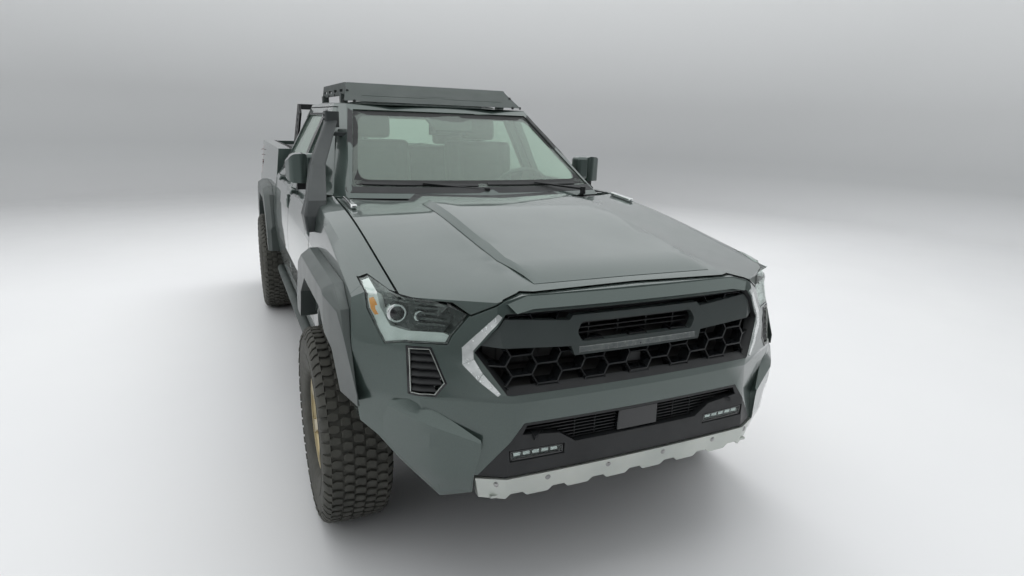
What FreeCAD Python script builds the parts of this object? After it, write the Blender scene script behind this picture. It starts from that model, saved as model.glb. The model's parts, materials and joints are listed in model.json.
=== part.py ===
import FreeCAD, Part
import math
import os
import types
import Sketcher
from FreeCAD import Vector as V

# Lifted double-cab 4x4 pickup. Millimetres. +X is the truck's left side, its front faces -Y, +Z is up.
# The origin is on the ground, in the middle of the overall length and width.

doc = FreeCAD.newDocument("lifted_pickup")
sheet = doc.addObject("Spreadsheet::Sheet", "dims")

DIMENSIONS = (
    # name, value, meaning
    ("wheelbase", 3350, "front axle to rear axle"),
    ("front_overhang", 905, "front axle to the nose"),
    ("rear_overhang", 1155, "rear axle to the rear bumper's face"),
    ("half_track", 896, "middle of the truck to the middle of a tyre"),
    ("tyre_radius", 419, "33 inch tyre"),
    ("tyre_width", 272, "over the sidewalls"),
    ("rim_radius", 229, "bead seat of an 18 inch rim"),
    ("rim_width", 216, "between the rim's flanges"),
    ("flange_radius", 243, "rim flange"),
    ("flare_reach", 998, "middle of the truck to a flare's outer face"),
    ("arch_radius", 512, "wheel opening in the body side"),
    ("belt_height", 1305, "bottom of the side windows' frames"),
    ("roof_edge_height", 1772, "gutter line of the roof"),
    ("roof_height", 1822, "crown of the roof"),
    ("belt_half_width", 868, "half width at the belt"),
    ("roof_half_width", 640, "half width at the roof's edge"),
    ("door_thickness", 110, "whole thickness of a door below the belt"),
    ("frame_thickness", 44, "thickness of pillars and window frames"),
    ("glass_inset", 14, "pane's outer face behind the pillars' outer face"),
    ("glass_thickness", 6, "window panes"),
    ("shut_gap", 10, "gap at the doors' hinged edges"),
    ("panel_gap", 6, "gap round the hood"),
    ("door_bottom", 505, "lower edge of the doors"),
    ("front_door_start", 640, "front axle to the front door's leading edge"),
    ("front_door_length", 1014, "front door, edge to edge"),
    ("rear_door_length", 896, "rear door, edge to edge"),
    ("cab_back", 2640, "front axle to the cab's back panel"),
    ("bed_gap", 46, "cab back to the bed's front"),
    ("bed_height", 1440, "top of the bed rails"),
    ("bed_floor_height", 870, "top of the bed floor"),
    ("bed_half_width", 785, "outside of the bed tub"),
    ("bed_wall", 24, "bed tub wall and floor"),
    ("tailgate_thickness", 58, "tailgate panel"),
    ("frame_rail_offset", 400, "middle of a chassis rail from the truck's middle"),
    ("frame_rail_width", 60, "chassis rail width"),
    ("frame_rail_height", 130, "chassis rail height"),
    ("frame_rail_level", 565, "middle of the rails under the cab"),
    ("floor_height", 690, "top of the cab floor"),
    ("skin", 30, "thickness of the outer panels"),
    ("hood_half_width", 790, "half width of the hood"),
    ("hinge_inset", 22, "door hinge axis inside the door's skin"),
    ("hinge_setback", 50, "door hinge axis behind the leading edge"),
    ("hinge_pin", 8, "radius of the hinge pins"),
    ("running_fit", 0.3, "radial clearance round a pin"),
    ("seat_height", 1040, "top of the seat cushions"),
    ("rack_height", 1906, "top of the roof rack"),
)


class Size(float):
    """A length that carries the spreadsheet expression it comes from."""

    def __new__(cls, value, text=None):
        size = float.__new__(cls, value)
        size.text = repr(float(value)) if text is None else text
        return size

    def __add__(self, other):
        return Size(float(self) + float(other), f"({self.text} + {as_text(other)})")

    def __radd__(self, other):
        return Size(float(other) + float(self), f"({as_text(other)} + {self.text})")

    def __sub__(self, other):
        return Size(float(self) - float(other), f"({self.text} - {as_text(other)})")

    def __rsub__(self, other):
        return Size(float(other) - float(self), f"({as_text(other)} - {self.text})")

    def __mul__(self, other):
        return Size(float(self) * float(other), f"({self.text} * {as_text(other)})")

    def __rmul__(self, other):
        return self * other

    def __truediv__(self, other):
        return Size(float(self) / float(other), f"({self.text} / {as_text(other)})")

    def __neg__(self):
        return Size(-float(self), f"(0 - {self.text})")


def as_text(value):
    return value.text if isinstance(value, Size) else repr(float(value))


def read_sheet(table):
    """Fill the sheet from the table and give each size back under its own name."""
    sizes = {}
    for row, (name, value, meaning) in enumerate(table, 1):
        sheet.set(f"A{row}", meaning)
        sheet.set(f"B{row}", str(value))
        sheet.setAlias(f"B{row}", name)
        sizes[name] = Size(value, f"dims.{name}")
    return types.SimpleNamespace(**sizes)


d = read_sheet(DIMENSIONS)
doc.recompute()

half_length = (d.front_overhang + d.wheelbase + d.rear_overhang) / 2
front_y = d.front_overhang - half_length
rear_y = front_y + d.wheelbase
door_y = front_y + d.front_door_start
middle_y = door_y + d.front_door_length
rear_door_y = middle_y + d.shut_gap
rear_door_end = rear_door_y + d.rear_door_length
cab_end = front_y + d.cab_back
bed_start = cab_end + d.bed_gap
bed_end = half_length - 40
firewall_y = front_y + 560

nodes = {}


# ---------------------------------------------------------------- helpers

def keep(item, name):
    """Give a finished sub-part its own name; its file takes the same name."""
    item.Label = name
    nodes[name] = item
    return item


def bind(item, attribute, value):
    """Set a property, through an expression where the size comes from the sheet."""
    if isinstance(value, Size) and "dims." in value.text:
        item.setExpression(attribute, value.text)
    else:
        setattr(item, attribute, float(value))


def place(item, x=0.0, y=0.0, z=0.0):
    for axis, value in (("x", x), ("y", y), ("z", z)):
        if isinstance(value, Size) and "dims." in value.text:
            item.setExpression(f"Placement.Base.{axis}", value.text)
        else:
            base = item.Placement.Base
            setattr(base, axis, float(value))
            item.Placement.Base = base
    return item


def box(name, x0, x1, y0, y1, z0, z1):
    """A block between two corners, each bound to the sheet."""
    item = doc.addObject("Part::Box", name)
    bind(item, "Length", x1 - x0)
    bind(item, "Width", y1 - y0)
    bind(item, "Height", z1 - z0)
    return place(item, x0, y0, z0)


TURNS = {
    "x": FreeCAD.Rotation(V(0, 1, 0), 90),
    "y": FreeCAD.Rotation(V(1, 0, 0), -90),
    "z": FreeCAD.Rotation(),
}


def cylinder(name, axis, radius, length, x, y, z):
    """A round bar that starts at a point and runs along +x, +y or +z."""
    item = doc.addObject("Part::Cylinder", name)
    bind(item, "Radius", radius)
    bind(item, "Height", length)
    item.Placement.Rotation = TURNS[axis]
    return place(item, x, y, z)


def fuse(name, items):
    item = doc.addObject("Part::MultiFuse", name)
    item.Shapes = items
    item.Refine = False
    return item


def group(name, items):
    item = doc.addObject("Part::Compound", name)
    item.Links = items
    return item


def cut(name, base, tool):
    item = doc.addObject("Part::Cut", name)
    item.Base = base
    item.Tool = tool
    return item


def other_side(name, source):
    """The same piece on the truck's right side."""
    item = doc.addObject("Part::Mirroring", name)
    item.Source = source
    item.Normal = V(1, 0, 0)
    return item


def origin_plane(body, role):
    return [plane for plane in body.Origin.OriginFeatures if plane.Role == role][0]


def sketch_in(body, name, role, points):
    """A closed outline on an origin plane, each corner held by the sheet."""
    sketch = body.newObject("Sketcher::SketchObject", name)
    sketch.AttachmentSupport = [(origin_plane(body, role), "")]
    sketch.MapMode = "FlatFace"
    corners = [V(float(a), float(b), 0) for a, b in points]
    count = len(corners)
    for i in range(count):
        sketch.addGeometry(Part.LineSegment(corners[i], corners[(i + 1) % count]), False)
    sketch.addConstraint([Sketcher.Constraint("Coincident", i, 2, (i + 1) % count, 1) for i in range(count)])
    for i, (a, b) in enumerate(points):
        for kind, value, number in (("DistanceX", a, corners[i].x), ("DistanceY", b, corners[i].y)):
            index = sketch.addConstraint(Sketcher.Constraint(kind, -1, 1, i, 1, number))
            if isinstance(value, Size) and "dims." in value.text:
                sketch.setExpression(f"Constraints[{index}]", value.text)
    return sketch


def pad_body(name, role, points, length, x=0.0, y=0.0, z=0.0, fillet=None):
    """A body padded both ways from its outline; fillet is (edge test, radius)."""
    body = doc.addObject("PartDesign::Body", name)
    sketch = sketch_in(body, name + "_outline", role, points)
    pad = body.newObject("PartDesign::Pad", name + "_pad")
    pad.Profile = sketch
    pad.Midplane = True
    bind(pad, "Length", length)
    body.Tip = pad
    if fillet:
        doc.recompute()
        test, radius = fillet
        edges = [f"Edge{i}" for i, edge in enumerate(pad.Shape.Edges, 1) if test(edge)]
        rounding = body.newObject("PartDesign::Fillet", name + "_fillet")
        rounding.Base = (pad, edges)
        bind(rounding, "Radius", radius)
        body.Tip = rounding
    place(body, x, y, z)
    return body


def turned_body(name, points, axis_role="X_Axis"):
    """A body turned round the X axis from an outline of (x, radius) points."""
    body = doc.addObject("PartDesign::Body", name)
    sketch = sketch_in(body, name + "_profile", "XY_Plane", points)
    turn = body.newObject("PartDesign::Revolution", name + "_turn")
    turn.Profile = sketch
    turn.ReferenceAxis = (origin_plane(body, axis_role), [""])
    turn.Angle = 360
    body.Tip = turn
    return body


def along(direction):
    """Edge test: straight edges that run along a direction."""
    def test(edge):
        if not isinstance(edge.Curve, Part.Line):
            return False
        return abs(abs(edge.tangentAt(edge.FirstParameter).dot(direction)) - 1) < 1e-6
    return test


# Shapes for panels cut from curved skins.

def outline_wire(points):
    """A closed flat wire from 3-D points; a point may be (vector, corner radius)."""
    corners = [(p, 0.0) if isinstance(p, V) else p for p in points]
    count = len(corners)
    edges = []
    ends = []
    for i, (corner, radius) in enumerate(corners):
        if not radius:
            ends.append((corner, corner))
            continue
        back = (corners[i - 1][0] - corner).normalize()
        ahead = (corners[(i + 1) % count][0] - corner).normalize()
        half = math.acos(max(-1.0, min(1.0, back.dot(ahead)))) / 2
        reach = radius / math.tan(half)
        start = corner + back * reach
        stop = corner + ahead * reach
        middle = corner + (back + ahead).normalize() * (radius / math.sin(half) - radius)
        edges.append(Part.Arc(start, middle, stop).toShape())
        ends.append((start, stop))
    for i in range(count):
        start = ends[i][1]
        stop = ends[(i + 1) % count][0]
        if start.distanceToPoint(stop) > 1e-6:
            edges.append(Part.LineSegment(start, stop).toShape())
    return Part.Wire(Part.__sortEdges__(edges))


def lift(points, make):
    """Turn (a, b) or (a, b, radius) rows into corners of a flat wire."""
    return [(make(*row[:2]), row[2]) if len(row) > 2 else make(*row) for row in points]


def side_prism(points, x0, x1):
    """Outline of (y, z) rows, from x0 to x1."""
    wire = outline_wire(lift(points, lambda y, z: V(x0, y, z)))
    return Part.Face(wire).extrude(V(x1 - x0, 0, 0))


def front_prism(points, y0, y1):
    """Outline of (x, z) rows, from y0 to y1."""
    wire = outline_wire(lift(points, lambda x, z: V(x, y0, z)))
    return Part.Face(wire).extrude(V(0, y1 - y0, 0))


def plan_prism(points, z0, z1):
    """Outline of (x, y) rows, from z0 to z1."""
    wire = outline_wire(lift(points, lambda x, y: V(x, y, z0)))
    return Part.Face(wire).extrude(V(0, 0, z1 - z0))


def block(x0, x1, y0, y1, z0, z1):
    return Part.makeBox(x1 - x0, y1 - y0, z1 - z0, V(x0, y0, z0))


def rod(radius, length, start, direction):
    return Part.makeCylinder(radius, length, start, direction)


def both_ways(rows):
    """Rows of a half outline from the middle out, closed by their mirror image."""
    return [(-row[0], *row[1:]) for row in reversed(rows)] + list(rows)


def mirror_x(shape):
    return shape.mirror(V(0, 0, 0), V(1, 0, 0))


def with_mirror(shape):
    return Part.makeCompound([shape, mirror_x(shape)])


def solids_of(shape):
    solids = [solid for solid in shape.Solids if solid.Volume > 50]
    return solids[0] if len(solids) == 1 else Part.makeCompound(solids)


def set_piece(name, shape):
    """A sub-part whose shape comes from lofted skins."""
    item = doc.addObject("Part::Feature", name)
    item.Shape = solids_of(shape)
    item.Placement = FreeCAD.Placement()
    return keep(item, name)


# ---------------------------------------------------------------- outer skins

# Side of the body: height, half width. The doors, wings, bed sides and nose all follow it.
SIDE = (
    (440, 872),
    (560, 905),
    (820, 936),
    (965, 936),
    (1090, 925),
    (1230, 904),
    (1305, 868),
)

# Nose in plan, at the same heights: y of the middle, end of the flat front (x, y),
# cheek (x, y) and y where the side starts, all from the front axle.
NOSE = (
    (-888, 505, -878, 690, -765, -560),
    (-905, 510, -893, 720, -785, -560),
    (-905, 490, -889, 762, -748, -560),
    (-884, 515, -866, 775, -705, -530),
    (-858, 535, -836, 782, -655, -490),
    (-815, 525, -795, 790, -590, -440),
    (-790, 520, -770, 790, -560, -400),
)
COWL_LEVEL = (1400, 830)
COWL_PLAN = (-760, 515, -745, 780, -540, -380)

# Hood and wing tops across the truck: y from the front axle, then heights at the columns below.
TOP_X = (0, 398, 452, 790, 880, 965)
TOP = (
    (-960, 1120, 1118, 1114, 1040, 1005, 930),
    (-835, 1164, 1161, 1156, 1088, 1060, 995),
    (-535, 1211, 1212, 1196, 1154, 1130, 1066),
    (-150, 1268, 1271, 1250, 1224, 1194, 1120),
    (250, 1318, 1322, 1299, 1284, 1254, 1178),
    (760, 1364, 1368, 1346, 1336, 1304, 1214),
)


def nose_skin(inset):
    """The nose and the body's sides as one block, moved in by inset."""
    rear = front_y + d.front_door_start - d.shut_gap
    levels = []
    for (height, side), (y0, x1, y1, x2, y2, y3) in zip(SIDE + (COWL_LEVEL,), NOSE + (COWL_PLAN,)):
        half = [
            (x1 - inset * 0.4, front_y + y1 + inset),
            (x2 - inset * 0.8, front_y + y2 + inset),
            (side - inset, front_y + y3 + inset * 0.6),
            (side - inset, rear),
        ]
        corners = [V(x, y, height) for x, y in half]
        mirrored = [V(-x, y, height) for x, y in reversed(half)]
        ring = corners + mirrored
        edges = [Part.LineSegment(a, b).toShape() for a, b in zip(ring, ring[1:])]
        middle = V(0, front_y + y0 + inset, height)
        edges.append(Part.Arc(ring[-1], middle, ring[0]).toShape())
        levels.append(Part.Wire(edges))
    return Part.makeLoft(levels, True, True)


def top_skin(drop):
    """Everything below the hood and wing tops, lowered by drop."""
    floor = 300
    sections = []
    for y, *heights in TOP:
        half = [(x, z - drop) for x, z in zip(TOP_X, heights)] + [(TOP_X[-1], floor)]
        ring = [V(x, front_y + y, z) for x, z in half]
        ring += [V(-x, front_y + y, z) for x, z in reversed(half) if x]
        sections.append(Part.makePolygon(ring + ring[:1]))
    return Part.makeLoft(sections, True, False)


def side_block(y0, y1, inner_x, top=None):
    """A slice of the left body side between two stations, from inner_x to the skin."""
    rows = [(half, height) for height, half in SIDE]
    if top:
        rows[-1] = (top[0], top[1])
    rows = [(inner_x, rows[0][1])] + rows + [(inner_x, rows[-1][1])]
    return front_prism(rows, y0, y1)


# Plan outlines of the glasshouse at the belt and at the roof's edge, from the front axle: height, half
# width, y where the side starts, share of the front pillar's run, y of the windscreen's middle,
# y where the side ends, share of the rear corner's run.
GLASSHOUSE = (
    (d.belt_height, d.belt_half_width, 880, 1, 495, 2560, 1),
    (d.roof_edge_height, d.roof_half_width, 1473, 0.36, 1298, 2450, 0.75),
)
PILLAR_RUN = (147, 280)
CORNER_RUN = (68, 80)


def glasshouse_skin(inset):
    """The cab above the belt as one block with flat sides and a bowed screen, moved in by inset."""
    rings = []
    screens = []
    for height, side, side_y, pillar, middle, rear_side, corner in GLASSHOUSE:
        front_run = [length * (pillar - inset * 0.4 / PILLAR_RUN[0]) for length in PILLAR_RUN]
        rear_run = [length * (corner - inset * 0.5 / CORNER_RUN[0]) for length in CORNER_RUN]
        front = side_y - PILLAR_RUN[1] * pillar + inset
        rear = rear_side + CORNER_RUN[1] * corner - inset
        half = [
            (side - inset - front_run[0], front),
            (side - inset, front + front_run[1]),
            (side - inset, rear - rear_run[1]),
            (side - inset - rear_run[0], rear),
        ]
        ring = [V(x, front_y + y, height) for x, y in half]
        rings.append(ring + [V(-p.x, p.y, p.z) for p in reversed(ring)])
        screens.append(Part.Arc(rings[-1][-1], V(0, front_y + middle + inset, height),
                                rings[-1][0]).toShape())
    low, high = rings
    faces = [Part.Face(Part.makePolygon([low[i], low[i + 1], high[i + 1], high[i], low[i]]))
             for i in range(len(low) - 1)]
    faces.append(Part.makeRuledSurface(*screens))
    for ring, screen in zip(rings, screens):
        edges = [Part.LineSegment(a, b).toShape() for a, b in zip(ring, ring[1:])]
        faces.append(Part.Face(Part.Wire(edges + [screen])))
    shell = Part.Shell(faces)
    shell.sewShape()
    return Part.Solid(shell)


FAR = 1100
nose_outer = nose_skin(0).common(top_skin(0))
nose_inner = nose_skin(d.skin).common(top_skin(d.skin))
nose_shell = nose_outer.cut(nose_inner)
glass_outer = glasshouse_skin(0)
pillar_shell = glass_outer.cut(glasshouse_skin(d.frame_thickness))
pane_shell = glasshouse_skin(d.glass_inset).cut(glasshouse_skin(d.glass_inset + d.glass_thickness))


# ---------------------------------------------------------------- nose openings (x, height)

GRILLE_HOLE = both_ways([(505, 1107), (600, 982), (510, 846)])
INTAKE_HOLE = both_ways([(452, 746), (598, 560)])
LAMP_EDGE = [(604, 1100), (650, 1132), (735, 1134), (812, 1143), (850, 1162), (884, 1152), (884, 1080),
             (846, 978),
             (786, 994), (672, 998), (656, 1030)]
VENT_EDGE = [(720, 988), (790, 986), (793, 831), (716, 829), (681, 874)]
AIR_SLOT = both_ways([(442, 736), (458, 706), (322, 692), (258, 650)])
FOG_LAMP = [(300, 612), (500, 612), (504, 654), (300, 650)]
SEAM_HEIGHT = 1000
WING_TIP = (796, 860, 1120)


def nose_cutter(points, y_end=None):
    """A prism through the nose from its front to behind the lamps."""
    rear = front_y - 380 if y_end is None else y_end
    return front_prism(points, front_y - 1000, rear)


# Hood in front view: what lies above this line at the nose belongs to the hood.
HOOD_NOSE = [(0, 1600), (0, 1172), (440, 1167), (508, 1150), (604, 1100), (650, 1132), (735, 1134),
             (790, 1140),
             (790, 1600)]
HOOD_BACK = ((790, 560), (700, 520), (452, 430), (0, 345))


def hood_region(grow):
    """Plan of the hood, wider by grow, cut to its front line."""
    side = d.hood_half_width + grow
    rear = [(x, front_y + y + grow) for x, y in HOOD_BACK[1:3]]
    half = [(side, front_y - 1000), (side, front_y + HOOD_BACK[0][1] + grow)] + rear
    ring = half + [(0, front_y + HOOD_BACK[3][1] + grow)] + [(-x, y) for x, y in reversed(half)]
    plan = plan_prism(ring, 900, 1600)
    line = [(x, z - grow) for x, z in HOOD_NOSE[1:-1]]
    front = [(side, 1600), (0, 1600)] + line[:-1] + [(side, line[-1][1])]
    half_front = front_prism(front, front_y - 1000, front_y + 700)
    return plan.common(half_front.fuse(mirror_x(half_front)))


def arch_tool(axle_y, radius, x0, x1):
    return rod(radius, x1 - x0, V(x0, axle_y, d.tyre_radius), V(1, 0, 0))


def make_hood():
    panel = nose_shell.common(hood_region(0))
    lug = side_prism([(front_y + 430, 1262), (front_y + 430, 1284), (front_y + 528, 1296),
                      (front_y + 552, 1296),
                      (hood_hinge_y + 12, hood_hinge_z + 11), (hood_hinge_y + 12, hood_hinge_z - 12),
                      (hood_hinge_y - 40, hood_hinge_z - 14)], 736, 744)
    lug = lug.cut(rod(hood_pin + d.running_fit, 40, V(720, hood_hinge_y, hood_hinge_z), V(1, 0, 0)))
    return set_piece("hood", panel.fuse([lug, mirror_x(lug)]))


hood_hinge_y = front_y + 600
hood_hinge_z = 1262
hood_pin = 6


def wing_tip():
    """Room for the narrow tip of the wing, between the hood and the lamp."""
    inner, outer, low = WING_TIP
    return block(inner, outer, front_y - 600, front_y - 440, low, 1500)


def make_wings():
    """Front wings: body side and top strip, from the lamps back to the doors."""
    side = nose_shell.cut(hood_region(d.panel_gap))
    keep_region = block(600, FAR, front_y - 460, door_y - d.shut_gap, 560, 1500).fuse(wing_tip())
    low = side_prism([(front_y - 460, 1000), (front_y - 560, 1000), (front_y - 560, 560),
                      (front_y - 460, 560)],
                     600, FAR)
    wing = side.common(keep_region).cut(low)
    wing = wing.cut(nose_cutter(LAMP_EDGE)).cut(arch_tool(front_y, d.arch_radius, 500, FAR))
    wing = wing.cut(block(0, d.hood_half_width + d.panel_gap, front_y - 1000, front_y + 800, 0, 1600))
    wing = wing.cut(block(0, FAR, front_y - 600, front_y, 0, SEAM_HEIGHT))
    return set_piece("front_wings", with_mirror(wing))


def make_bumper():
    """Painted nose: grille surround, bumper bar and the corners up to the wheels."""
    nose = nose_outer.cut(nose_skin(60).common(top_skin(60)))
    nose = nose.common(block(-FAR, FAR, front_y - 1000, front_y - 440, 440, 1500))
    nose = nose.cut(hood_region(d.panel_gap))
    wing_part = block(600, FAR, front_y - 460, front_y, SEAM_HEIGHT, 1500)
    nose = nose.cut([wing_part, mirror_x(wing_part), wing_tip(), mirror_x(wing_tip())])
    for points in (LAMP_EDGE, VENT_EDGE):
        tool = nose_cutter(points)
        nose = nose.cut([tool, mirror_x(tool)])
    nose = nose.cut([nose_cutter(GRILLE_HOLE), nose_cutter(INTAKE_HOLE)])
    nose = nose.cut(block(-606, 606, front_y - 1000, front_y, 0, 562))
    approach = front_prism([(606, 300), (606, 489), (699, 462), (816, 581), (870, 646), (FAR, 830),
                            (FAR, 300)],
                           front_y - 1000, front_y)
    nose = nose.cut([approach, mirror_x(approach)])
    nose = nose.cut(arch_tool(front_y, d.arch_radius, -FAR, FAR))
    return set_piece("front_bumper", nose)


def nose_insert(points, depth):
    """What fills an opening of the nose, flush with it and as deep as given."""
    insert = nose_outer.cut(nose_skin(depth).common(top_skin(depth)))
    return insert.common(nose_cutter(points, front_y - 400))


make_hood()
make_wings()
make_bumper()
lamp = nose_insert(LAMP_EDGE, 90).cut(hood_region(d.panel_gap))
set_piece("headlamps", with_mirror(lamp))
vent = nose_insert(VENT_EDGE, 60)
set_piece("corner_vents", with_mirror(vent))
intake = nose_insert(INTAKE_HOLE, 50)
slot = nose_cutter(AIR_SLOT).cut(nose_skin(38))
lamps = [nose_cutter(FOG_LAMP).cut(nose_skin(14))]
set_piece("lower_grille", intake.cut([slot] + lamps + [mirror_x(lamps[0])]))


# ---------------------------------------------------------------- doors and glasshouse

def behind_axle(rows):
    """Rows of (y from the front axle, height) moved to the truck's own frame."""
    return [(front_y + row[0], *row[1:]) for row in rows]


ROOF_SEAM = d.roof_edge_height - 24
front_start = d.front_door_start
front_end = front_start + d.front_door_length
rear_start = front_end + d.shut_gap
rear_end = rear_start + d.rear_door_length

# The front window keeps a top edge at least 120 long.
window_top_start = min(front_start + 790, front_end - 120)
# Door outlines above and below the belt, and their window openings: (y from the front axle, height).
FRONT_FRAME = [(front_start + 70, d.belt_height - 40), (front_start + 102, d.belt_height + 10),
               (front_start + 773, ROOF_SEAM), (front_end, ROOF_SEAM), (front_end, d.belt_height - 40)]
FRONT_WINDOW = [(front_start + 232, d.belt_height + 32), (window_top_start, ROOF_SEAM - 46),
                (front_end - 52, ROOF_SEAM - 46, 30), (front_end - 40, d.belt_height + 32, 12)]
REAR_FRAME = [(rear_start, d.belt_height - 40), (rear_start, ROOF_SEAM), (rear_end - 130, ROOF_SEAM),
              (rear_end, d.belt_height + 150), (rear_end, d.belt_height - 40)]
REAR_WINDOW = [(rear_start + 40, d.belt_height + 32, 12), (rear_start + 52, ROOF_SEAM - 46, 30),
               (rear_end - 178, ROOF_SEAM - 46, 40), (rear_end - 62, d.belt_height + 140, 60),
               (rear_end - 62, d.belt_height + 32, 12)]
DOOR_INNER = d.belt_half_width + 68 - d.door_thickness


def hinge_heights():
    return (d.door_bottom + 240, d.belt_height - 160)


# Step in the trailing edge of a door's window frame, which lets it swing past the next panel.
REBATE = 16
OUTER_LIP = 14
HINGE_HEIGHT = 56
HINGE_BARREL = 13
skin_x = max(half for height, half in SIDE)
hinge_x = skin_x - d.hinge_inset


def make_door(name, start, end, frame, window):
    """A left door: lower panel, window frame, hinge notches and pin bores."""
    y0 = front_y + start
    y1 = front_y + end
    lower = side_block(y0, y1, DOOR_INNER)
    lower = lower.common(block(0, FAR, y0, y1, d.door_bottom, d.belt_height))
    upper = pillar_shell.common(side_prism(behind_axle(frame), 300, FAR))
    upper = upper.common(block(0, FAR, y0, y1, d.belt_height, 2000))
    upper = upper.cut(side_prism(behind_axle(window), 300, FAR))
    trailing = [row[:2] for row in frame if row[0] > end - 200]
    rebate = [(y - REBATE, z) for y, z in trailing] + [(end + 5, trailing[-1][1]), (end + 5, trailing[0][1])]
    upper = upper.cut(glasshouse_skin(OUTER_LIP).common(side_prism(behind_axle(rebate), 300, FAR)))
    door = lower.fuse(upper)
    axis_y = y0 + d.hinge_setback
    for middle in hinge_heights():
        notch = block(0, hinge_x + HINGE_BARREL + 3, y0 - 50, axis_y + HINGE_BARREL + 5,
                      middle - HINGE_HEIGHT / 2 - 5, middle + HINGE_HEIGHT / 2 + 5)
        bore = rod(d.hinge_pin + d.running_fit, HINGE_HEIGHT + 60,
                   V(hinge_x, axis_y, middle - HINGE_HEIGHT / 2 - 30), V(0, 0, 1))
        door = door.cut([notch, bore])
    pane = pane_shell.common(side_prism(behind_axle(window), 300, FAR)).common(block(0, FAR, y0, y1, 0, 2000))
    for side, turn in (("left", lambda shape: shape), ("right", mirror_x)):
        set_piece(f"{name}_{side}_door", turn(door))
        set_piece(f"{name}_{side}_window", turn(pane))


make_door("front", front_start, front_end, FRONT_FRAME, FRONT_WINDOW)
make_door("rear", rear_start, rear_end, REAR_FRAME, REAR_WINDOW)

SCREEN_EDGE = both_ways([(693, d.belt_height + 50), (560, ROOF_SEAM - 8)])
REAR_GLASS_EDGE = both_ways([(560, d.belt_height + 70), (500, ROOF_SEAM - 20)])
FRAME_GAP = 6
POST_INSET = 62


def make_glasshouse():
    """Pillars, rails and rear panel, left when the doors and glass are taken out."""
    screen = front_prism(SCREEN_EDGE, front_y + 200, front_y + 1500)
    rear_glass = front_prism(REAR_GLASS_EDGE, front_y + 2300, front_y + 2800)
    body = pillar_shell.cut([screen, rear_glass])
    cab_top = block(-FAR, FAR, front_y + 200, front_y + 3000, d.belt_height, d.roof_edge_height)
    body = body.common(cab_top)
    doorway = [(front_start + 92, d.belt_height - 60), (front_start + 92, d.belt_height + 10),
               (front_start + 763, ROOF_SEAM), (front_start + 767, ROOF_SEAM + FRAME_GAP),
               (rear_end - 118, ROOF_SEAM + FRAME_GAP), (rear_end + d.shut_gap + 2, d.belt_height + 150),
               (rear_end + d.shut_gap, d.belt_height - 60)]
    opening = side_prism(behind_axle(doorway), 300, FAR)
    body = body.cut([opening, mirror_x(opening)])
    inner = glasshouse_skin(POST_INSET).cut(glasshouse_skin(POST_INSET + 34))
    post_rows = behind_axle([(front_end - 26, d.belt_height), (front_end - 26, d.roof_edge_height - 12),
                             (rear_start + 30, d.roof_edge_height - 12), (rear_start + 30, d.belt_height)])
    post = inner.common(side_prism(post_rows, 300, FAR))
    rail_rows = behind_axle([(front_start + 845, ROOF_SEAM + FRAME_GAP + 1),
                             (rear_end - 118, ROOF_SEAM + FRAME_GAP + 1),
                             (rear_end - 118, d.roof_edge_height), (front_start + 845, d.roof_edge_height)])
    rail = glasshouse_skin(d.frame_thickness - 1).cut(glasshouse_skin(d.frame_thickness + 44))
    rail = rail.common(side_prism(rail_rows, 300, FAR))
    posts = [post, rail, mirror_x(post), mirror_x(rail)]
    y_a = door_y + 8
    lower_a = block(748, 806, y_a, y_a + 64, d.floor_height, d.belt_height - FRAME_GAP)
    lower_a = lower_a.fuse(block(748, 790, y_a, y_a + 38, d.belt_height - FRAME_GAP, d.belt_height))
    lower_b = block(748, 806, front_y + front_end - 26, front_y + rear_start + 72, d.floor_height,
                    d.belt_height)
    bracket = block(752, 760, hood_hinge_y - 14, y_a + 2, hood_hinge_z - 14, hood_hinge_z + 14)
    hood_pivot = rod(hood_pin, 26, V(734, hood_hinge_y, hood_hinge_z), V(1, 0, 0))
    posts += [bracket, hood_pivot, mirror_x(bracket), mirror_x(hood_pivot)]
    for start in (front_start, rear_start):
        axis_y = front_y + start + d.hinge_setback
        for middle in hinge_heights():
            arm = block(800, hinge_x, axis_y - 7, axis_y + 7, middle - HINGE_HEIGHT / 2,
                        middle + HINGE_HEIGHT / 2)
            barrel = rod(HINGE_BARREL, HINGE_HEIGHT, V(hinge_x, axis_y, middle - HINGE_HEIGHT / 2),
                         V(0, 0, 1))
            pin = rod(d.hinge_pin, HINGE_HEIGHT + 50, V(hinge_x, axis_y, middle - HINGE_HEIGHT / 2 - 25),
                      V(0, 0, 1))
            posts += [arm, barrel, pin, mirror_x(arm), mirror_x(barrel), mirror_x(pin)]
    quarter = side_block(front_y + rear_end + d.shut_gap, cab_end, 748)
    quarter = quarter.common(block(0, FAR, front_y, cab_end, 560, d.belt_height))
    back = block(-748, 748, cab_end - 40, cab_end, d.floor_height, d.belt_height)
    posts += [lower_a, lower_b, mirror_x(lower_a), mirror_x(lower_b), quarter, mirror_x(quarter), back]
    set_piece("cab_frame", body.fuse(posts))
    pane = pane_shell.common(block(-FAR, FAR, front_y + 200, front_y + 1500, d.belt_height,
                                   d.roof_edge_height))
    set_piece("windscreen", pane.common(screen))
    set_piece("rear_window", pane_shell.common(rear_glass))


# Roof bows: y from the front axle, half width, edge and crown above the gutter line.
ROOF_BOWS = (
    (1290, 330, 1, 4),
    (1372, 588, 1, 8),
    (1445, 622, 3, 17),
    (1600, 640, 5, 38),
    (1900, 640, 7, d.roof_height - d.roof_edge_height),
    (2515, 610, 0, 34),
)


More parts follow.
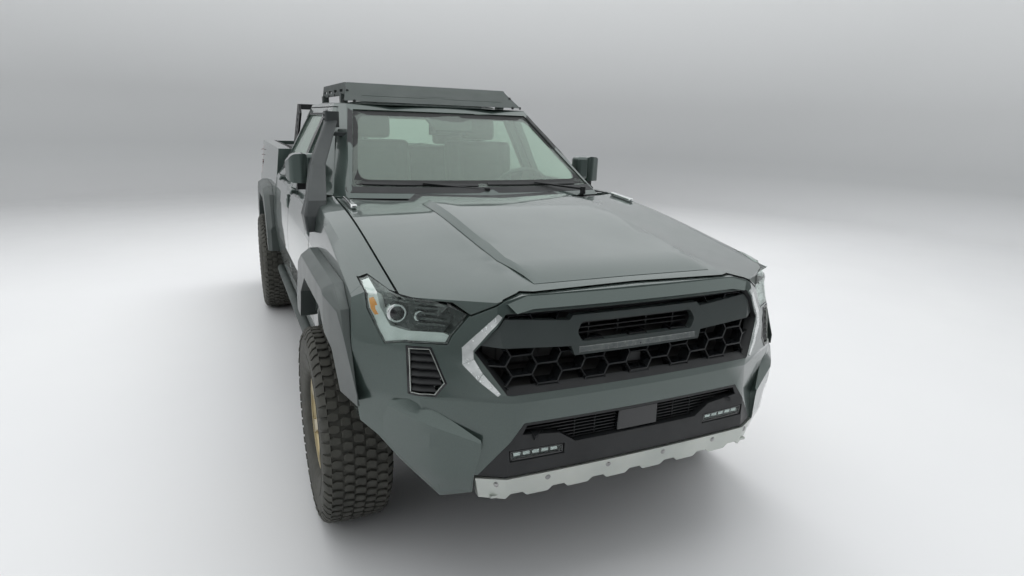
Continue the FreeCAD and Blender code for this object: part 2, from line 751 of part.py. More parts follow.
def make_roof():
    """Crowned roof panel on the gutter line, thick as the panel with its bows and lining."""
    sections = []
    under = d.roof_edge_height - 10
    for y, half, edge, crown in ROOF_BOWS:
        left = V(half, front_y + y, d.roof_edge_height + edge)
        right = V(-half, front_y + y, d.roof_edge_height + edge)
        low_right = V(-half, front_y + y, under)
        low_left = V(half, front_y + y, under)
        arch = Part.Arc(left, V(0, front_y + y, d.roof_edge_height + crown), right).toShape()
        sides = ((right, low_right), (low_right, low_left), (low_left, left))
        rest = [Part.LineSegment(a, b).toShape() for a, b in sides]
        sections.append(Part.Wire([arch] + rest))
    slab = Part.makeLoft(sections, True, True)
    above = block(-FAR, FAR, front_y, front_y + 3000, d.roof_edge_height, 2000)
    return set_piece("roof_panel", slab.common(above))


make_glasshouse()
make_roof()


# ---------------------------------------------------------------- cab inside

def make_floor():
    """Cab floor with its tunnel, firewall and sills."""
    floor = block(-748, 748, firewall_y, cab_end - 40, d.floor_height - 24, d.floor_height)
    tunnel = block(-150, 150, firewall_y + 24, front_y + 1780, d.floor_height, d.floor_height + 110)
    firewall = block(-748, 748, firewall_y, firewall_y + 24, d.floor_height, 1230)
    sill = block(748, 806, firewall_y + 60, front_y + rear_end + d.shut_gap, d.door_bottom + 10,
                 d.floor_height)
    return set_piece("cab_floor", floor.fuse([tunnel, firewall, sill, mirror_x(sill)]))


make_floor()


def cushion(name, x_middle, width, y0, y1, z0, z1, slope=0.0):
    """A seat cushion or back: its side outline with eased corners, padded across the seat."""
    ease = 30
    points = [
        (y0 + ease, z0), (y1 - ease, z0), (y1, z0 + ease), (y1 + slope, z1 - ease),
        (y1 + slope - ease, z1), (y0 + slope + ease, z1), (y0 + slope, z1 - ease), (y0, z0 + ease),
    ]
    return pad_body(name, "YZ_Plane", points, width, x=x_middle)


# Seat rows: hip line from the front axle, height of the backs above the cushions, their lean,
# then (middle, width) of each seat.
SEAT_ROWS = (
    (1340, 520, 110, ((-375, 500), (375, 500))),
    (2060, 460, 60, ((0, 1300),)),
)


def make_seats():
    pieces = []
    for row, (hip, tall, lean, spans) in enumerate(SEAT_ROWS):
        base = front_y + hip
        for x_middle, width in spans:
            tag = f"row{row}_{'left' if x_middle > 0 else 'right'}"
            pieces.append(cushion(tag + "_seat", x_middle, width, base - 300, base + 170,
                                  d.seat_height - 130, d.seat_height))
            pieces.append(cushion(tag + "_back", x_middle, width, base + 170 + d.running_fit, base + 282,
                                  d.seat_height - 90, d.seat_height + tall, slope=lean))
            pieces.append(box(tag + "_stand", x_middle - width * 0.4, x_middle + width * 0.4,
                              base - 220, base + 140, d.floor_height, d.seat_height - 130))
            for head in ((x_middle,) if width < 600 else (-380, 380)):
                pieces.append(cushion(f"{tag}_head_{int(head)}", head, 250, base + 176 + lean,
                                      base + 272 + lean,
                                      d.seat_height + tall + d.running_fit, d.seat_height + tall + 160,
                                      slope=16))
    return keep(group("seats_group", pieces), "seats")


make_seats()


def make_dashboard():
    board = side_prism(behind_axle([(584, 1060), (584, 1222), (690, 1256), (840, 1262), (900, 1180),
                                    (880, 1090), (720, 1000)]),
                       -730, 730)
    console = block(-110, 110, front_y + 885, front_y + 1560, d.floor_height + 110, d.floor_height + 290)
    wheel_middle = V(375, front_y + 965, 1262)
    lean = V(0, 0.88, 0.47)
    turns = [math.radians(a) for a in range(0, 360, 60)]
    rim_section = [V(0, 185 + 16 * math.cos(a), 16 * math.sin(a)) for a in turns]
    ring = Part.Face(Part.makePolygon(rim_section + rim_section[:1])).revolve(V(0, 0, 0), V(0, 0, 1), 360)
    hub = rod(62, 44, wheel_middle - lean * 30, lean)
    spokes = [block(-178, 178, -22, 22, -9, 9), block(-22, 22, -178, 0, -9, 9)]
    turn = FreeCAD.Rotation(V(0, 0, 1), lean)
    for spoke in spokes:
        spoke.Placement = FreeCAD.Placement(wheel_middle - lean * 8, turn)
    ring.Placement = FreeCAD.Placement(wheel_middle, turn)
    column = rod(34, 170, wheel_middle - lean * 180, lean)
    return set_piece("dashboard", board.fuse([console, ring, hub, column] + spokes))


make_dashboard()


# ---------------------------------------------------------------- chassis

STRUT_X = 560
REAR_RISE = 110
AXLE_TUBE = 45
STRUT_TOP = 716
STRUT_FOOT = d.tyre_radius - 133


# Rubber body mounts on the rails: y from the front axle, foot inside the rail, underside carried.
BODY_MOUNTS = (
    (880, 600, d.floor_height - 24),
    (2240, 600, d.floor_height - 24),
    (2990, 700, d.bed_floor_height - d.bed_wall),
    (4180, 690, d.bed_floor_height - d.bed_wall),
)


def make_ladder_frame():
    """Two side rails with a rise over the rear axle, joined by cross members."""
    low = d.frame_rail_level - d.frame_rail_height / 2
    rise = REAR_RISE
    top = low + d.frame_rail_height
    rail_rows = [
        (front_y - 700, low - 40), (front_y + 420, low - 40), (front_y + 620, low), (rear_y - 620, low),
        (rear_y - 360, low + rise), (rear_y + 420, low + rise), (rear_y + 640, low + rise - 30),
        (half_length - 110, low + rise - 30), (half_length - 110, top + rise - 30),
        (rear_y + 640, top + rise - 30), (rear_y + 420, top + rise), (rear_y - 400, top + rise),
        (rear_y - 660, top), (front_y + 600, top), (front_y + 400, top - 40), (front_y - 700, top - 40),
    ]
    rail = pad_body("frame_rail", "YZ_Plane", rail_rows, d.frame_rail_width, x=d.frame_rail_offset)
    pieces = [rail, other_side("frame_rail_right", rail)]
    inner = d.frame_rail_offset - d.frame_rail_width / 2
    # station, width along the truck, lower edge above the rail's own lower edge
    for i, (y, wide, up) in enumerate((
            (front_y - 640, 60, -20), (front_y - 120, 90, -36), (front_y + 1000, 90, -60),
                                       (front_y + 1900, 80, 74),
            (rear_y - 330, 70, rise + 10), (rear_y + 400, 70, rise + 10),
                                       (half_length - 170, 60, rise - 20))):
        pieces.append(box(f"cross_member_{i}", -inner, inner, y, y + wide, low + up, low + up + 80))
    outer = d.frame_rail_offset + d.frame_rail_width / 2
    tower = box("strut_tower", d.frame_rail_offset - 10, outer, front_y - 70, front_y + 70, top - 41,
                STRUT_TOP + 14)
    seat = box("strut_seat", outer - 1, STRUT_X + 50, front_y - 70, front_y + 70, STRUT_TOP, STRUT_TOP + 14)
    pieces += [tower, seat]
    for i, y in enumerate((front_y - 170, front_y + 110)):
        pieces.append(box(f"wishbone_bracket_{i}", outer - 30, outer, y, y + 60, d.tyre_radius - 180,
                          low - 39))
    for i, (y, foot, head) in enumerate(BODY_MOUNTS):
        pieces.append(box(f"body_mount_{i}", d.frame_rail_offset - 28, d.frame_rail_offset + 28,
                          front_y + y, front_y + y + 60, foot, head - d.running_fit))
    pieces += [other_side(piece.Name + "_right", piece) for piece in pieces[-4 - len(BODY_MOUNTS):]]
    return keep(fuse("ladder_frame_fuse", pieces), "ladder_frame")


make_ladder_frame()


def make_engine():
    """The engine as one block with its sump, at its real place."""
    rows = [(front_y - 300, 700), (front_y - 260, 560), (front_y + 40, 560), (front_y + 60, 620),
            (front_y + 420, 640), (front_y + 440, 980), (front_y + 380, 1090), (front_y - 240, 1090),
            (front_y - 300, 1000)]
    body = pad_body("engine_body", "YZ_Plane", rows, 480, fillet=(along(V(1, 0, 0)), 18))
    inner = d.frame_rail_offset - d.frame_rail_width / 2
    mounts = box("engine_mounts", -inner, inner, front_y + 20, front_y + 90, 566, 590)
    return keep(fuse("engine_fuse", [body, mounts]), "engine_block")


make_engine()


# Running gear. Each row of a wheel: name, side (1 left, -1 right), y of its axle, steered.
WHEELS = (
    ("front_left", 1, front_y, True),
    ("front_right", -1, front_y, True),
    ("rear_left", 1, rear_y, False),
    ("rear_right", -1, rear_y, False),
)
DISC_RADIUS = 165
DISC_OUT = 1
DISC_THICK = 26
HUB_FACE = 30
SPOKES = 6


def make_rim_master():
    """Rim: barrel with both flanges, dished disc with six windows, brake disc behind it."""
    edge = d.rim_width / 2
    seat = d.rim_radius
    flange = d.flange_radius
    profile = [
        (-edge - 6, flange), (-edge, seat), (edge, seat), (edge + 6, flange), (edge - 2, seat - 8),
        (edge - 36, seat - 30), (HUB_FACE + 58, 70), (HUB_FACE + 58, 0), (HUB_FACE, 0), (HUB_FACE, 84),
        (edge - 66, seat - 30), (edge - 66, seat - 12), (-edge - 6, seat - 12),
    ]
    body = turned_body("rim_master", profile)
    doc.recompute()
    window = body.newObject("Sketcher::SketchObject", "rim_window")
    window.AttachmentSupport = [(origin_plane(body, "YZ_Plane"), "")]
    window.MapMode = "FlatFace"
    corners = [V(-26, 92, 0), (V(26, 92, 0)), V(74, 176, 0), V(52, 190, 0), V(-52, 190, 0), V(-74, 176, 0)]
    for i in range(len(corners)):
        window.addGeometry(Part.LineSegment(corners[i], corners[(i + 1) % len(corners)]), False)
    pocket = body.newObject("PartDesign::Pocket", "rim_window_pocket")
    pocket.Profile = window
    pocket.Midplane = True
    pocket.Length = 400
    body.Tip = pocket
    doc.recompute()
    pattern = body.newObject("PartDesign::PolarPattern", "rim_windows")
    pattern.Originals = [pocket]
    pattern.Axis = (origin_plane(body, "X_Axis"), [""])
    pattern.Angle = 360
    pattern.Occurrences = SPOKES
    body.Tip = pattern
    doc.recompute()
    return body


def make_tyre_master():
    half = d.tyre_width / 2
    bead = d.rim_width / 2
    shoulder = [(bead, d.rim_radius), (bead + 7, d.flange_radius + 8), (half, d.tyre_radius - 96),
                (half - 10, d.tyre_radius - 32), (half - 40, d.tyre_radius)]
    profile = [(-x, r) for x, r in shoulder] + list(reversed(shoulder))
    body = turned_body("tyre_master", profile)
    doc.recompute()
    return body


def placed_copy(name, source, x, y, z, flip):
    """The master piece at a wheel; flip turns its outer side to the right."""
    shape = source.Shape.copy()
    shape.Placement = FreeCAD.Placement()
    item = doc.addObject("Part::Feature", name)
    item.Shape = mirror_x(shape) if flip else shape
    place(item, x, y, z)
    return item


rim_master = make_rim_master()
tyre_master = make_tyre_master()
for corner, side, axle_y, steered in WHEELS:
    x = d.half_track * side
    rim = placed_copy(corner + "_rim_part", rim_master, x, axle_y, d.tyre_radius, side < 0)
    disc_start = x + DISC_OUT - DISC_THICK if side > 0 else x - DISC_OUT
    disc = cylinder(corner + "_brake_disc", "x", DISC_RADIUS, DISC_THICK, disc_start, axle_y, d.tyre_radius)
    hat_start = x if side > 0 else x - HUB_FACE - 2
    hat = cylinder(corner + "_disc_hat", "x", 80, HUB_FACE + 2, hat_start, axle_y, d.tyre_radius)
    keep(fuse(corner + "_rim_fuse", [rim, disc, hat]), corner + "_rim")
    keep(placed_copy(corner + "_tyre_part", tyre_master, x, axle_y, d.tyre_radius, side < 0),
         corner + "_tyre")


KNUCKLE_INSET = 96
WISHBONE_LOW = d.tyre_radius - 150
WISHBONE_HIGH = d.tyre_radius + 160


def make_knuckles():
    """Steering knuckles: upright between the ball joints, hub stub and a caliper round the disc."""
    middle = d.half_track - KNUCKLE_INSET
    disc_in = d.half_track + DISC_OUT - DISC_THICK - d.running_fit
    disc_out = d.half_track + DISC_OUT + d.running_fit
    pieces = [
        box("upright", middle - 20, middle + 20, front_y - 45, front_y + 45,
            WISHBONE_LOW + 17 + d.running_fit, WISHBONE_HIGH - 13 - d.running_fit),
        cylinder("stub", "x", 34, disc_in - middle - 19, middle + 19, front_y, d.tyre_radius),
        box("caliper_arm", middle + 4, middle + 20, front_y + 44, front_y + 150, d.tyre_radius - 40,
            d.tyre_radius + 40),
        box("caliper_inner", middle + 19, disc_in, front_y + 96, front_y + 195, d.tyre_radius - 58,
            d.tyre_radius + 58),
        box("caliper_bridge", disc_in - 1, disc_out + 1, front_y + DISC_RADIUS + 1, front_y + 195,
            d.tyre_radius - 58, d.tyre_radius + 58),
        box("caliper_outer", disc_out, disc_out + 24, front_y + 104, front_y + 195,
            d.tyre_radius - 58, d.tyre_radius + 58),
    ]
    knuckle = keep(fuse("knuckle_fuse", pieces), "front_left_knuckle")
    keep(other_side("knuckle_right", knuckle), "front_right_knuckle")


make_knuckles()


def make_rear_axle():
    """Beam axle with its differential, and the hub flanges that carry the wheels."""
    reach = d.half_track + DISC_OUT - DISC_THICK - d.running_fit
    half = [(0, 158), (52, 150), (104, 112), (142, AXLE_TUBE), (reach, AXLE_TUBE), (reach, 0)]
    beam = turned_body("axle_beam", [(-x, r) for x, r in reversed(half)] + half[1:])
    place(beam, 0, rear_y, d.tyre_radius)
    nose = cylinder("pinion_nose", "y", 62, 140, 0, rear_y - 250, d.tyre_radius + 10)
    return keep(fuse("rear_axle_fuse", [beam, nose]), "rear_axle")


def make_suspension():
    """Wishbones and spring struts in front; trailing arms, coils and dampers at the back."""
    rail_out = d.frame_rail_offset + d.frame_rail_width / 2
    reach = d.half_track - KNUCKLE_INSET + 10
    plate = [(rail_out, front_y - 170), (rail_out, front_y + 170), (reach, front_y + 34),
             (reach, front_y - 34)]
    fork = [(rail_out, front_y - 170), (rail_out, front_y - 110), (reach - 60, front_y),
            (rail_out, front_y + 110),
            (rail_out, front_y + 170), (reach, front_y + 34), (reach, front_y - 34)]
    lower = pad_body("lower_wishbone", "XY_Plane", plate, 34, z=WISHBONE_LOW)
    upper = pad_body("upper_wishbone", "XY_Plane", fork, 26, z=WISHBONE_HIGH)
    strut = cylinder("front_strut", "z", 46, STRUT_TOP - STRUT_FOOT, STRUT_X, front_y, STRUT_FOOT)
    under_frame = d.frame_rail_level - d.frame_rail_height / 2 + REAR_RISE
    coil_foot = d.tyre_radius + AXLE_TUBE
    coil = cylinder("rear_coil", "z", 58, under_frame - coil_foot, d.frame_rail_offset, rear_y, coil_foot)
    arm_rows = [(rear_y - 640, 520), (rear_y - AXLE_TUBE, d.tyre_radius - 40),
                (rear_y - AXLE_TUBE, d.tyre_radius + 20), (rear_y - 640, 570)]
    arm = pad_body("trailing_arm", "YZ_Plane", arm_rows, 56, x=rail_out + 28)
    damper = cylinder("rear_damper", "z", 30, 330, rail_out + 40, rear_y + AXLE_TUBE + 30 + d.running_fit,
                      d.tyre_radius - 40)
    pieces = [lower, upper, strut, coil, arm, damper]
    right = [other_side(piece.Name + "_right", piece) for piece in pieces]
    return keep(group("suspension_group", pieces + right), "suspension")


def make_driveline():
    """Gearbox and transfer case behind the engine, with the rear propeller shaft."""
    case = block(-150, 150, front_y + 442, front_y + 1150, 520, d.floor_height - 30)
    transfer = block(-230, 110, front_y + 1150, front_y + 1480, 520, 640)
    start = V(0, front_y + 1479, 560)
    run = V(0, rear_y - 254, d.tyre_radius + 10) - start
    shaft = rod(38, run.Length, start, run)
    return set_piece("driveline", case.fuse([transfer, shaft]))


def make_tank_and_exhaust():
    """Fuel tank against the right rail; pipe and silencer hung from the left rail."""
    inner = d.frame_rail_offset - d.frame_rail_width / 2
    keep(box("tank_body", -inner, -80, front_y + 2050, rear_y - 340, 450, 640), "fuel_tank")
    pipe = rod(32, 1500, V(230, front_y + 1500, 520), V(0, 1, 0))
    muffler = rod(90, 520, V(230, front_y + 2000, 520), V(0, 1, 0))
    hanger = block(230, inner, front_y + 2240, front_y + 2280, 514, 526)
    set_piece("exhaust", pipe.fuse([muffler, hanger]))


make_rear_axle()
make_suspension()
make_driveline()
make_tank_and_exhaust()


# ---------------------------------------------------------------- front details

def make_front_structure():
    """Inner wings and radiator support between the bumper and the firewall."""
    low = d.frame_rail_level - d.frame_rail_height / 2 - 40
    rail_top = low + d.frame_rail_height
    apron = block(588, 604, front_y - 620, firewall_y, 790, 1090)
    upper = block(588, 604, front_y - 300, firewall_y, 1089, 1134)
    flange = block(604, 750, front_y - 300, firewall_y, 1120, 1134)
    support = block(-604, 604, front_y - 650, front_y - 620, rail_top, 1040)
    core = block(-560, 560, front_y - 654, front_y - 600, 640, 980)
    beam = block(-560, 560, front_y - 790, front_y - 730, low + 20, rail_top + 40)
    horn = block(d.frame_rail_offset - 30, d.frame_rail_offset + 30, front_y - 731, front_y - 700, low + 20,
                 rail_top)
    tray = block(600, 650, front_y - 660, front_y - 500, 800, 1060)
    sides = [apron, upper, flange, horn, tray]
    body = support.fuse([core, beam] + sides + [mirror_x(side) for side in sides])
    for name in ("headlamps", "front_bumper", "corner_vents", "front_wings", "hood"):
        body = body.cut(nodes[name].Shape.translated(V(0, d.running_fit, 0)))
    return set_piece("front_structure", body)


def make_liners():
    """Arched inner linings over the four wheels."""
    liners = []
    for axle_y, inner_x in ((front_y, 604), (rear_y, 640)):
        outer = rod(d.arch_radius - d.running_fit, 260, V(inner_x, axle_y, d.tyre_radius), V(1, 0, 0))
        inner = rod(d.arch_radius - 10, 260, V(inner_x, axle_y, d.tyre_radius), V(1, 0, 0))
        shell = outer.cut(inner).common(block(inner_x, inner_x + 260, axle_y - 600, axle_y + 600, 620, 1100))
        liners += [shell, mirror_x(shell)]
    return liners


FLARE_OUTER = [(-610, 560), (-610, 800), (-470, 1060), (-330, 1120), (330, 1120), (480, 1060), (640, 830),
               (640, 560)]
FLARE_OPEN = [(-522, 300), (-522, 640), (-400, 900), (-230, 1006), (230, 1006), (400, 900), (522, 640),
              (522, 300)]


# The front flares run in towards the bumper: (x, y from the axle).
FLARE_TAPER = [(FAR, -660), (926, -660), (1006, -300), (FAR, -300)]


def behind_axle_plan(points):
    """Plan points (x, y from the front axle) moved to the truck's own frame."""
    return [(x, front_y + y) for x, y in points]


def make_flares():
    """Trapezoid wheel arch flares seated on the body side, hollow behind their outer wall."""
    flares = []
    for axle_y, front_trim, rear_trim, bottom in ((front_y, -640, 590, 760), (rear_y, -600, 640, 620)):
        inner_x = 860
        outline = [(axle_y + y, z) for y, z in FLARE_OUTER]
        slope = [(axle_y + y * 0.94, z - (26 if z > 600 else 0)) for y, z in FLARE_OUTER]
        low = outline_wire([V(inner_x, y, z) for y, z in outline])
        mid = outline_wire([V(d.flare_reach - 40, y, z) for y, z in outline])
        top = outline_wire([V(d.flare_reach, y, z) for y, z in slope])
        shape = Part.makeLoft([low, mid, top], True, True)
        opening = side_prism([(axle_y + y, z) for y, z in FLARE_OPEN], inner_x - 10, FAR)
        flare = shape.cut(opening)
        flare = flare.common(block(0, FAR, axle_y + front_trim, axle_y + rear_trim, bottom, 1300))
        flare = flare.cut(side_block(front_y - 700, half_length, 0))
        if axle_y == front_y:
            flare = flare.cut(plan_prism(behind_axle_plan(FLARE_TAPER), 500, 1300))
        flares += [flare, mirror_x(flare)]
    return set_piece("wheel_arch_flares", Part.makeCompound(flares))


def make_skid():
    """Bare metal skid plate under the bumper, with a scalloped lower edge."""
    lobes = 7
    plate = [(606, 556), (590, 478)]
    width = 590 * 2 / (lobes * 2 + 1)
    x = 590.0
    for i in range(lobes):
        x -= width
        plate += [(x, 478), (x - width * 0.22, 494), (x - width * 0.78, 494), (x - width, 478)]
        x -= width
    plate += [(-590, 478), (-606, 556)]
    front = nose_skin(-8).common(top_skin(0)).cut(nose_skin(12))
    face = front.common(front_prism(plate, front_y - 1000, front_y - 700))
    pan = block(-560, 560, front_y - 880, front_y - 790, 484, 492)
    body = face.fuse(pan).cut(nodes["front_bumper"].Shape).cut(nodes["lower_grille"].Shape)
    return set_piece("skid_plate", body)


def make_grille():
    """Honeycomb grille: a backing frame with rows of hexagonal cells cut through."""
    back = nose_skin(44).common(top_skin(44)).cut(nose_skin(62))
    plate = back.common(nose_cutter(GRILLE_HOLE))
    cell_wide, cell_high, web = 118, 46, 9
    cells = []
    for row in range(4):
        z = 884 + row * (cell_high + web)
        shift = (cell_wide + web) / 2 if row % 2 else 0
        for column in range(-4, 5):
            x = column * (cell_wide + web) + shift
            reach = 486 + 88 * min(1, abs(z - 858) / 127)
            if abs(x) + cell_wide / 2 > reach:
                continue
            half = cell_wide / 2
            hexagon = [(x - half, z), (x - half + 22, z + cell_high / 2), (x + half - 22, z + cell_high / 2),
                       (x + half, z),
                       (x + half - 22, z - cell_high / 2), (x - half + 22, z - cell_high / 2)]
            cells.append(nose_cutter(hexagon))
    mesh = plate.cut(Part.makeCompound(cells))
    return set_piece("grille_mesh", mesh)


def make_grille_bar():
    """Broad bar across the top of the grille, with its rounded slot and the lamp below it."""
    bar = nose_skin(14).common(top_skin(14)).cut(nose_skin(43.5))
    outline = both_ways([(262, 1082), (276, 1067), (505, 1087), (580, 1000), (274, 982), (262, 950)])
    bar = bar.common(nose_cutter(outline)).common(nose_cutter(GRILLE_HOLE))
    slot = nose_cutter([(-230, 992, 12), (-248, 1025, 20), (-230, 1058, 20), (230, 1058, 20), (248, 1025, 20),
                        (230, 992, 12)])
    pocket = nose_skin(0).cut(nose_skin(36))
    return set_piece("grille_bar", bar.cut(slot.common(pocket)))


make_front_structure()
make_flares()
make_skid()
make_grille()
make_grille_bar()


# ---------------------------------------------------------------- bed and rear

BED_SIDE_TOP = (880, d.bed_height)
TAILGATE_PIN = 10
tailgate_y = half_length - 75
tailgate_z = d.bed_floor_height + 18


def make_bed():
    outer = block(-d.bed_half_width, d.bed_half_width, bed_start, half_length - 114,
                  d.bed_floor_height - d.bed_wall,
                  d.bed_height)
    hollow = block(-d.bed_half_width + d.bed_wall, d.bed_half_width - d.bed_wall, bed_start + d.bed_wall,
                   half_length,
                   d.bed_floor_height, d.bed_height + 10)
    tub = outer.cut(hollow)
    house = arch_tool(rear_y, d.arch_radius + 30, 560, d.bed_half_width)
    house = house.common(block(560, d.bed_half_width, rear_y - 600, rear_y + 600,
                               d.bed_floor_height - d.bed_wall,
                               d.bed_floor_height + 150))
    room = arch_tool(rear_y, d.arch_radius + 8, 540 + d.bed_wall, d.bed_half_width)
    room = room.common(block(540 + d.bed_wall + 20, d.bed_half_width + 10, rear_y - 600, rear_y + 600, 0,
                             d.bed_floor_height + 128))
    tub = tub.fuse([house, mirror_x(house)]).cut([room, mirror_x(room)])
    ribs = [block(x - 22, x + 22, bed_start + 60, half_length - 130, d.bed_floor_height,
                  d.bed_floor_height + 8)
            for x in range(-440, 441, 176)]
    set_piece("bed_tub", tub.fuse(ribs))
    side = side_block(bed_start, bed_end, d.bed_half_width, BED_SIDE_TOP)
    low = side_prism([(bed_start, 400), (bed_start, 620), (rear_y, 620), (rear_y + 640, 640),
                      (half_length - 66, 720), (half_length - 66, 832), (bed_end + 10, 832),
                      (bed_end + 10, 400)], 0, FAR)
    side = side.cut(low).cut(arch_tool(rear_y, d.arch_radius, 0, FAR))
    pocket = front_prism(TAIL_LAMP, half_length - 150, bed_end + 5)
    lamp = pocket.common(side)
    pin = rod(TAILGATE_PIN, 45, V(d.bed_half_width - 41, tailgate_y, tailgate_z), V(1, 0, 0))
    set_piece("bed_sides", with_mirror(side.cut(pocket).fuse(pin)))
    set_piece("tail_lamps", with_mirror(lamp))


TAIL_LAMP = [(812, 1112), (812, 1396), (960, 1396), (960, 1112)]


def make_tailgate():
    """Tailgate hinged on two side pins, with its handle recess."""
    half = d.bed_half_width - 13
    t = d.tailgate_thickness / 2
    rows = [(tailgate_y - t, tailgate_z - 14), (tailgate_y - t + 14, tailgate_z - 26),
            (tailgate_y + t - 14, tailgate_z - 26),
            (tailgate_y + t, tailgate_z - 14), (tailgate_y + t, d.bed_height - 4),
            (tailgate_y - t, d.bed_height - 4)]
    gate = side_prism(rows, -half, half)
    handle = block(-120, 120, tailgate_y + t - 22, tailgate_y + t + 5, d.bed_height - 165, d.bed_height - 75)
    gate = gate.cut(handle)
    for x in (half - 40, -half - 10):
        gate = gate.cut(rod(TAILGATE_PIN + d.running_fit, 50, V(x, tailgate_y, tailgate_z), V(1, 0, 0)))
    set_piece("tailgate", gate)


HITCH_PIN = 8
HITCH_HEIGHT = 540


def make_rear_bumper():
    """Rear bumper with its step, carried on the ends of the chassis rails."""
    rows = [(half_length - 60, 560), (half_length - 20, 560), (half_length, 620), (half_length, 800),
            (half_length - 24, 826), (half_length - 60, 826)]
    bar = side_prism(rows, -880, 880)
    corner = plan_prism([(700, half_length + 5), (905, half_length + 5), (905, half_length - 52),
                         (800, half_length + 5)],
                        500, 900)
    bar = bar.cut([corner, mirror_x(corner)])
    low = d.frame_rail_level - d.frame_rail_height / 2 + 80
    inner = d.frame_rail_offset - d.frame_rail_width / 2
    mount = block(inner, inner + d.frame_rail_width, half_length - 110, half_length - 60, low + 10, low + 110)
    receiver = block(-40, 40, half_length - 110, half_length - 20, HITCH_HEIGHT - 40, HITCH_HEIGHT + 40)
    socket = block(-25.4, 25.4, half_length - 100, half_length + 5, HITCH_HEIGHT - 25.4, HITCH_HEIGHT + 25.4)
    pin_bore = rod(HITCH_PIN, 100, V(-50, half_length - 85, HITCH_HEIGHT), V(1, 0, 0))
    bumper = bar.fuse([mount, mirror_x(mount), receiver]).cut([socket, pin_bore])
    return set_piece("rear_bumper", bumper)


make_bed()
make_tailgate()
make_rear_bumper()


# ---------------------------------------------------------------- outside fittings

def make_cowl():
    """Grille panel between the hood and the windscreen."""
    base = nose_skin(0).common(top_skin(12)).cut(top_skin(40))
    ahead = hood_region(d.panel_gap * 2)
    cowl = base.common(block(-700, 700, front_y + 300, front_y + 760, 1200, 1500)).cut(ahead)
    cowl = cowl.cut(glasshouse_skin(-1))
    box_under = block(-610, 610, firewall_y, firewall_y + 24, 1230, 1268)
    return set_piece("cowl_panel", cowl.fuse(box_under))


def make_snorkel():
    """Raised air intake up the right windscreen pillar, with its louvred head."""
    # plan centre (x, y from the front axle), height, half width, half depth
    stations = (
        (-918, 520, 1165, 30, 48),
        (-906, 550, 1238, 50, 70),
        (-890, 570, 1306, 46, 50),
        (-838, 856, 1450, 38, 46),
        (-708, 1178, 1676, 32, 40),
    )
    sections = []
    for x, y, z, half, deep in stations:
        corners = [V(x - half, front_y + y - deep, z), V(x + half, front_y + y - deep, z),
                   V(x + half, front_y + y + deep, z), V(x - half, front_y + y + deep, z)]
        sections.append(outline_wire([(corner, 14) for corner in corners]))
    tube = Part.makeLoft(sections, True, True)
    head = plan_prism([(-748, front_y + 1126, 14), (-748, front_y + 1208, 14), (-668, front_y + 1220, 14),
                       (-668, front_y + 1138, 14)], 1636, 1722)
    for step in range(3):
        z = 1650 + step * 23
        head = head.cut(block(-760, -722, front_y + 1142, front_y + 1196, z, z + 11))
    bracket = block(-745, -620, front_y + 1104, front_y + 1130, 1590, 1610)
    pipe = tube.fuse([head, bracket]).cut(glasshouse_skin(-d.running_fit))
    pipe = pipe.cut(nose_skin(-d.running_fit).common(top_skin(-d.running_fit)))
    return set_piece("snorkel", pipe)


DEFLECTOR_FOOT = 1425
DEFLECTOR_RUN = 195


def make_rack():
    """Roof rack: side plates on feet, cross slats, and the wind deflector in front."""
    top = d.rack_height
    low = d.roof_edge_height + 18
    foot_y = DEFLECTOR_FOOT + 12 + (top - 78 - low) * DEFLECTOR_RUN / (top - low)
    peak = DEFLECTOR_FOOT + 12 + DEFLECTOR_RUN
    plates = side_prism(behind_axle([(foot_y, top - 78), (peak, top), (2490, top), (2550, top - 60),
                                     (2550, top - 78)]), 536, 548)
    for y in range(1700, 2400, 220):
        plates = plates.cut(side_prism(behind_axle([(y, top - 56, 8), (y + 110, top - 56, 8),
                                                    (y + 110, top - 38, 8),
                                                    (y, top - 38, 8)]), 530, 560))
    pieces = [plates, mirror_x(plates)]
    for y in range(1660, 2500, 138):
        pieces.append(block(-537, 537, front_y + y, front_y + y + 70, top - 34, top - 16))
    for y in (1660, 2420):
        foot = block(524, 566, front_y + y, front_y + y + 60, d.roof_edge_height + 1, top - 70)
        pieces += [foot, mirror_x(foot)]
    rack = pieces[0].fuse(pieces[1:])
    return rack.cut(nodes["roof_panel"].Shape.translated(V(0, 0, d.running_fit)))


def make_deflector():
    low, high = d.roof_edge_height + 18, d.rack_height
    rows = behind_axle([(DEFLECTOR_FOOT, low), (DEFLECTOR_FOOT + 12, low),
                        (DEFLECTOR_FOOT + 12 + DEFLECTOR_RUN, high),
                        (DEFLECTOR_FOOT + DEFLECTOR_RUN, high)])
    panel = side_prism(rows, -FAR, FAR)
    shape = front_prism(both_ways([(588, low), (534, high)]), front_y + 1000, front_y + 1800)
    return panel.common(shape)


def make_sport_bar():
    """Hoop behind the cab: a cross tube on two slanting legs with oval holes."""
    top = 1780
    leg = side_prism([(bed_start + 30, top - 70), (bed_start + 70, top), (bed_start + 150, top),
                      (bed_start + 560, d.bed_height + 40), (bed_start + 560, d.bed_height),
                      (bed_start + 370, d.bed_height)], 690, 706)
    for i in range(5):
        y = bed_start + 128 + i * 62
        z = top - 72 - i * 52
        leg = leg.cut(rod(17, 40, V(680, y, z), V(1, 0, 0)))
    bar = block(-700, 700, bed_start + 70, bed_start + 150, top - 40, top)
    foot = block(690, 770, bed_start + 30, bed_start + 560, d.bed_height, d.bed_height + 10)
    return set_piece("sport_bar", leg.fuse([mirror_x(leg), bar, foot, mirror_x(foot)]))


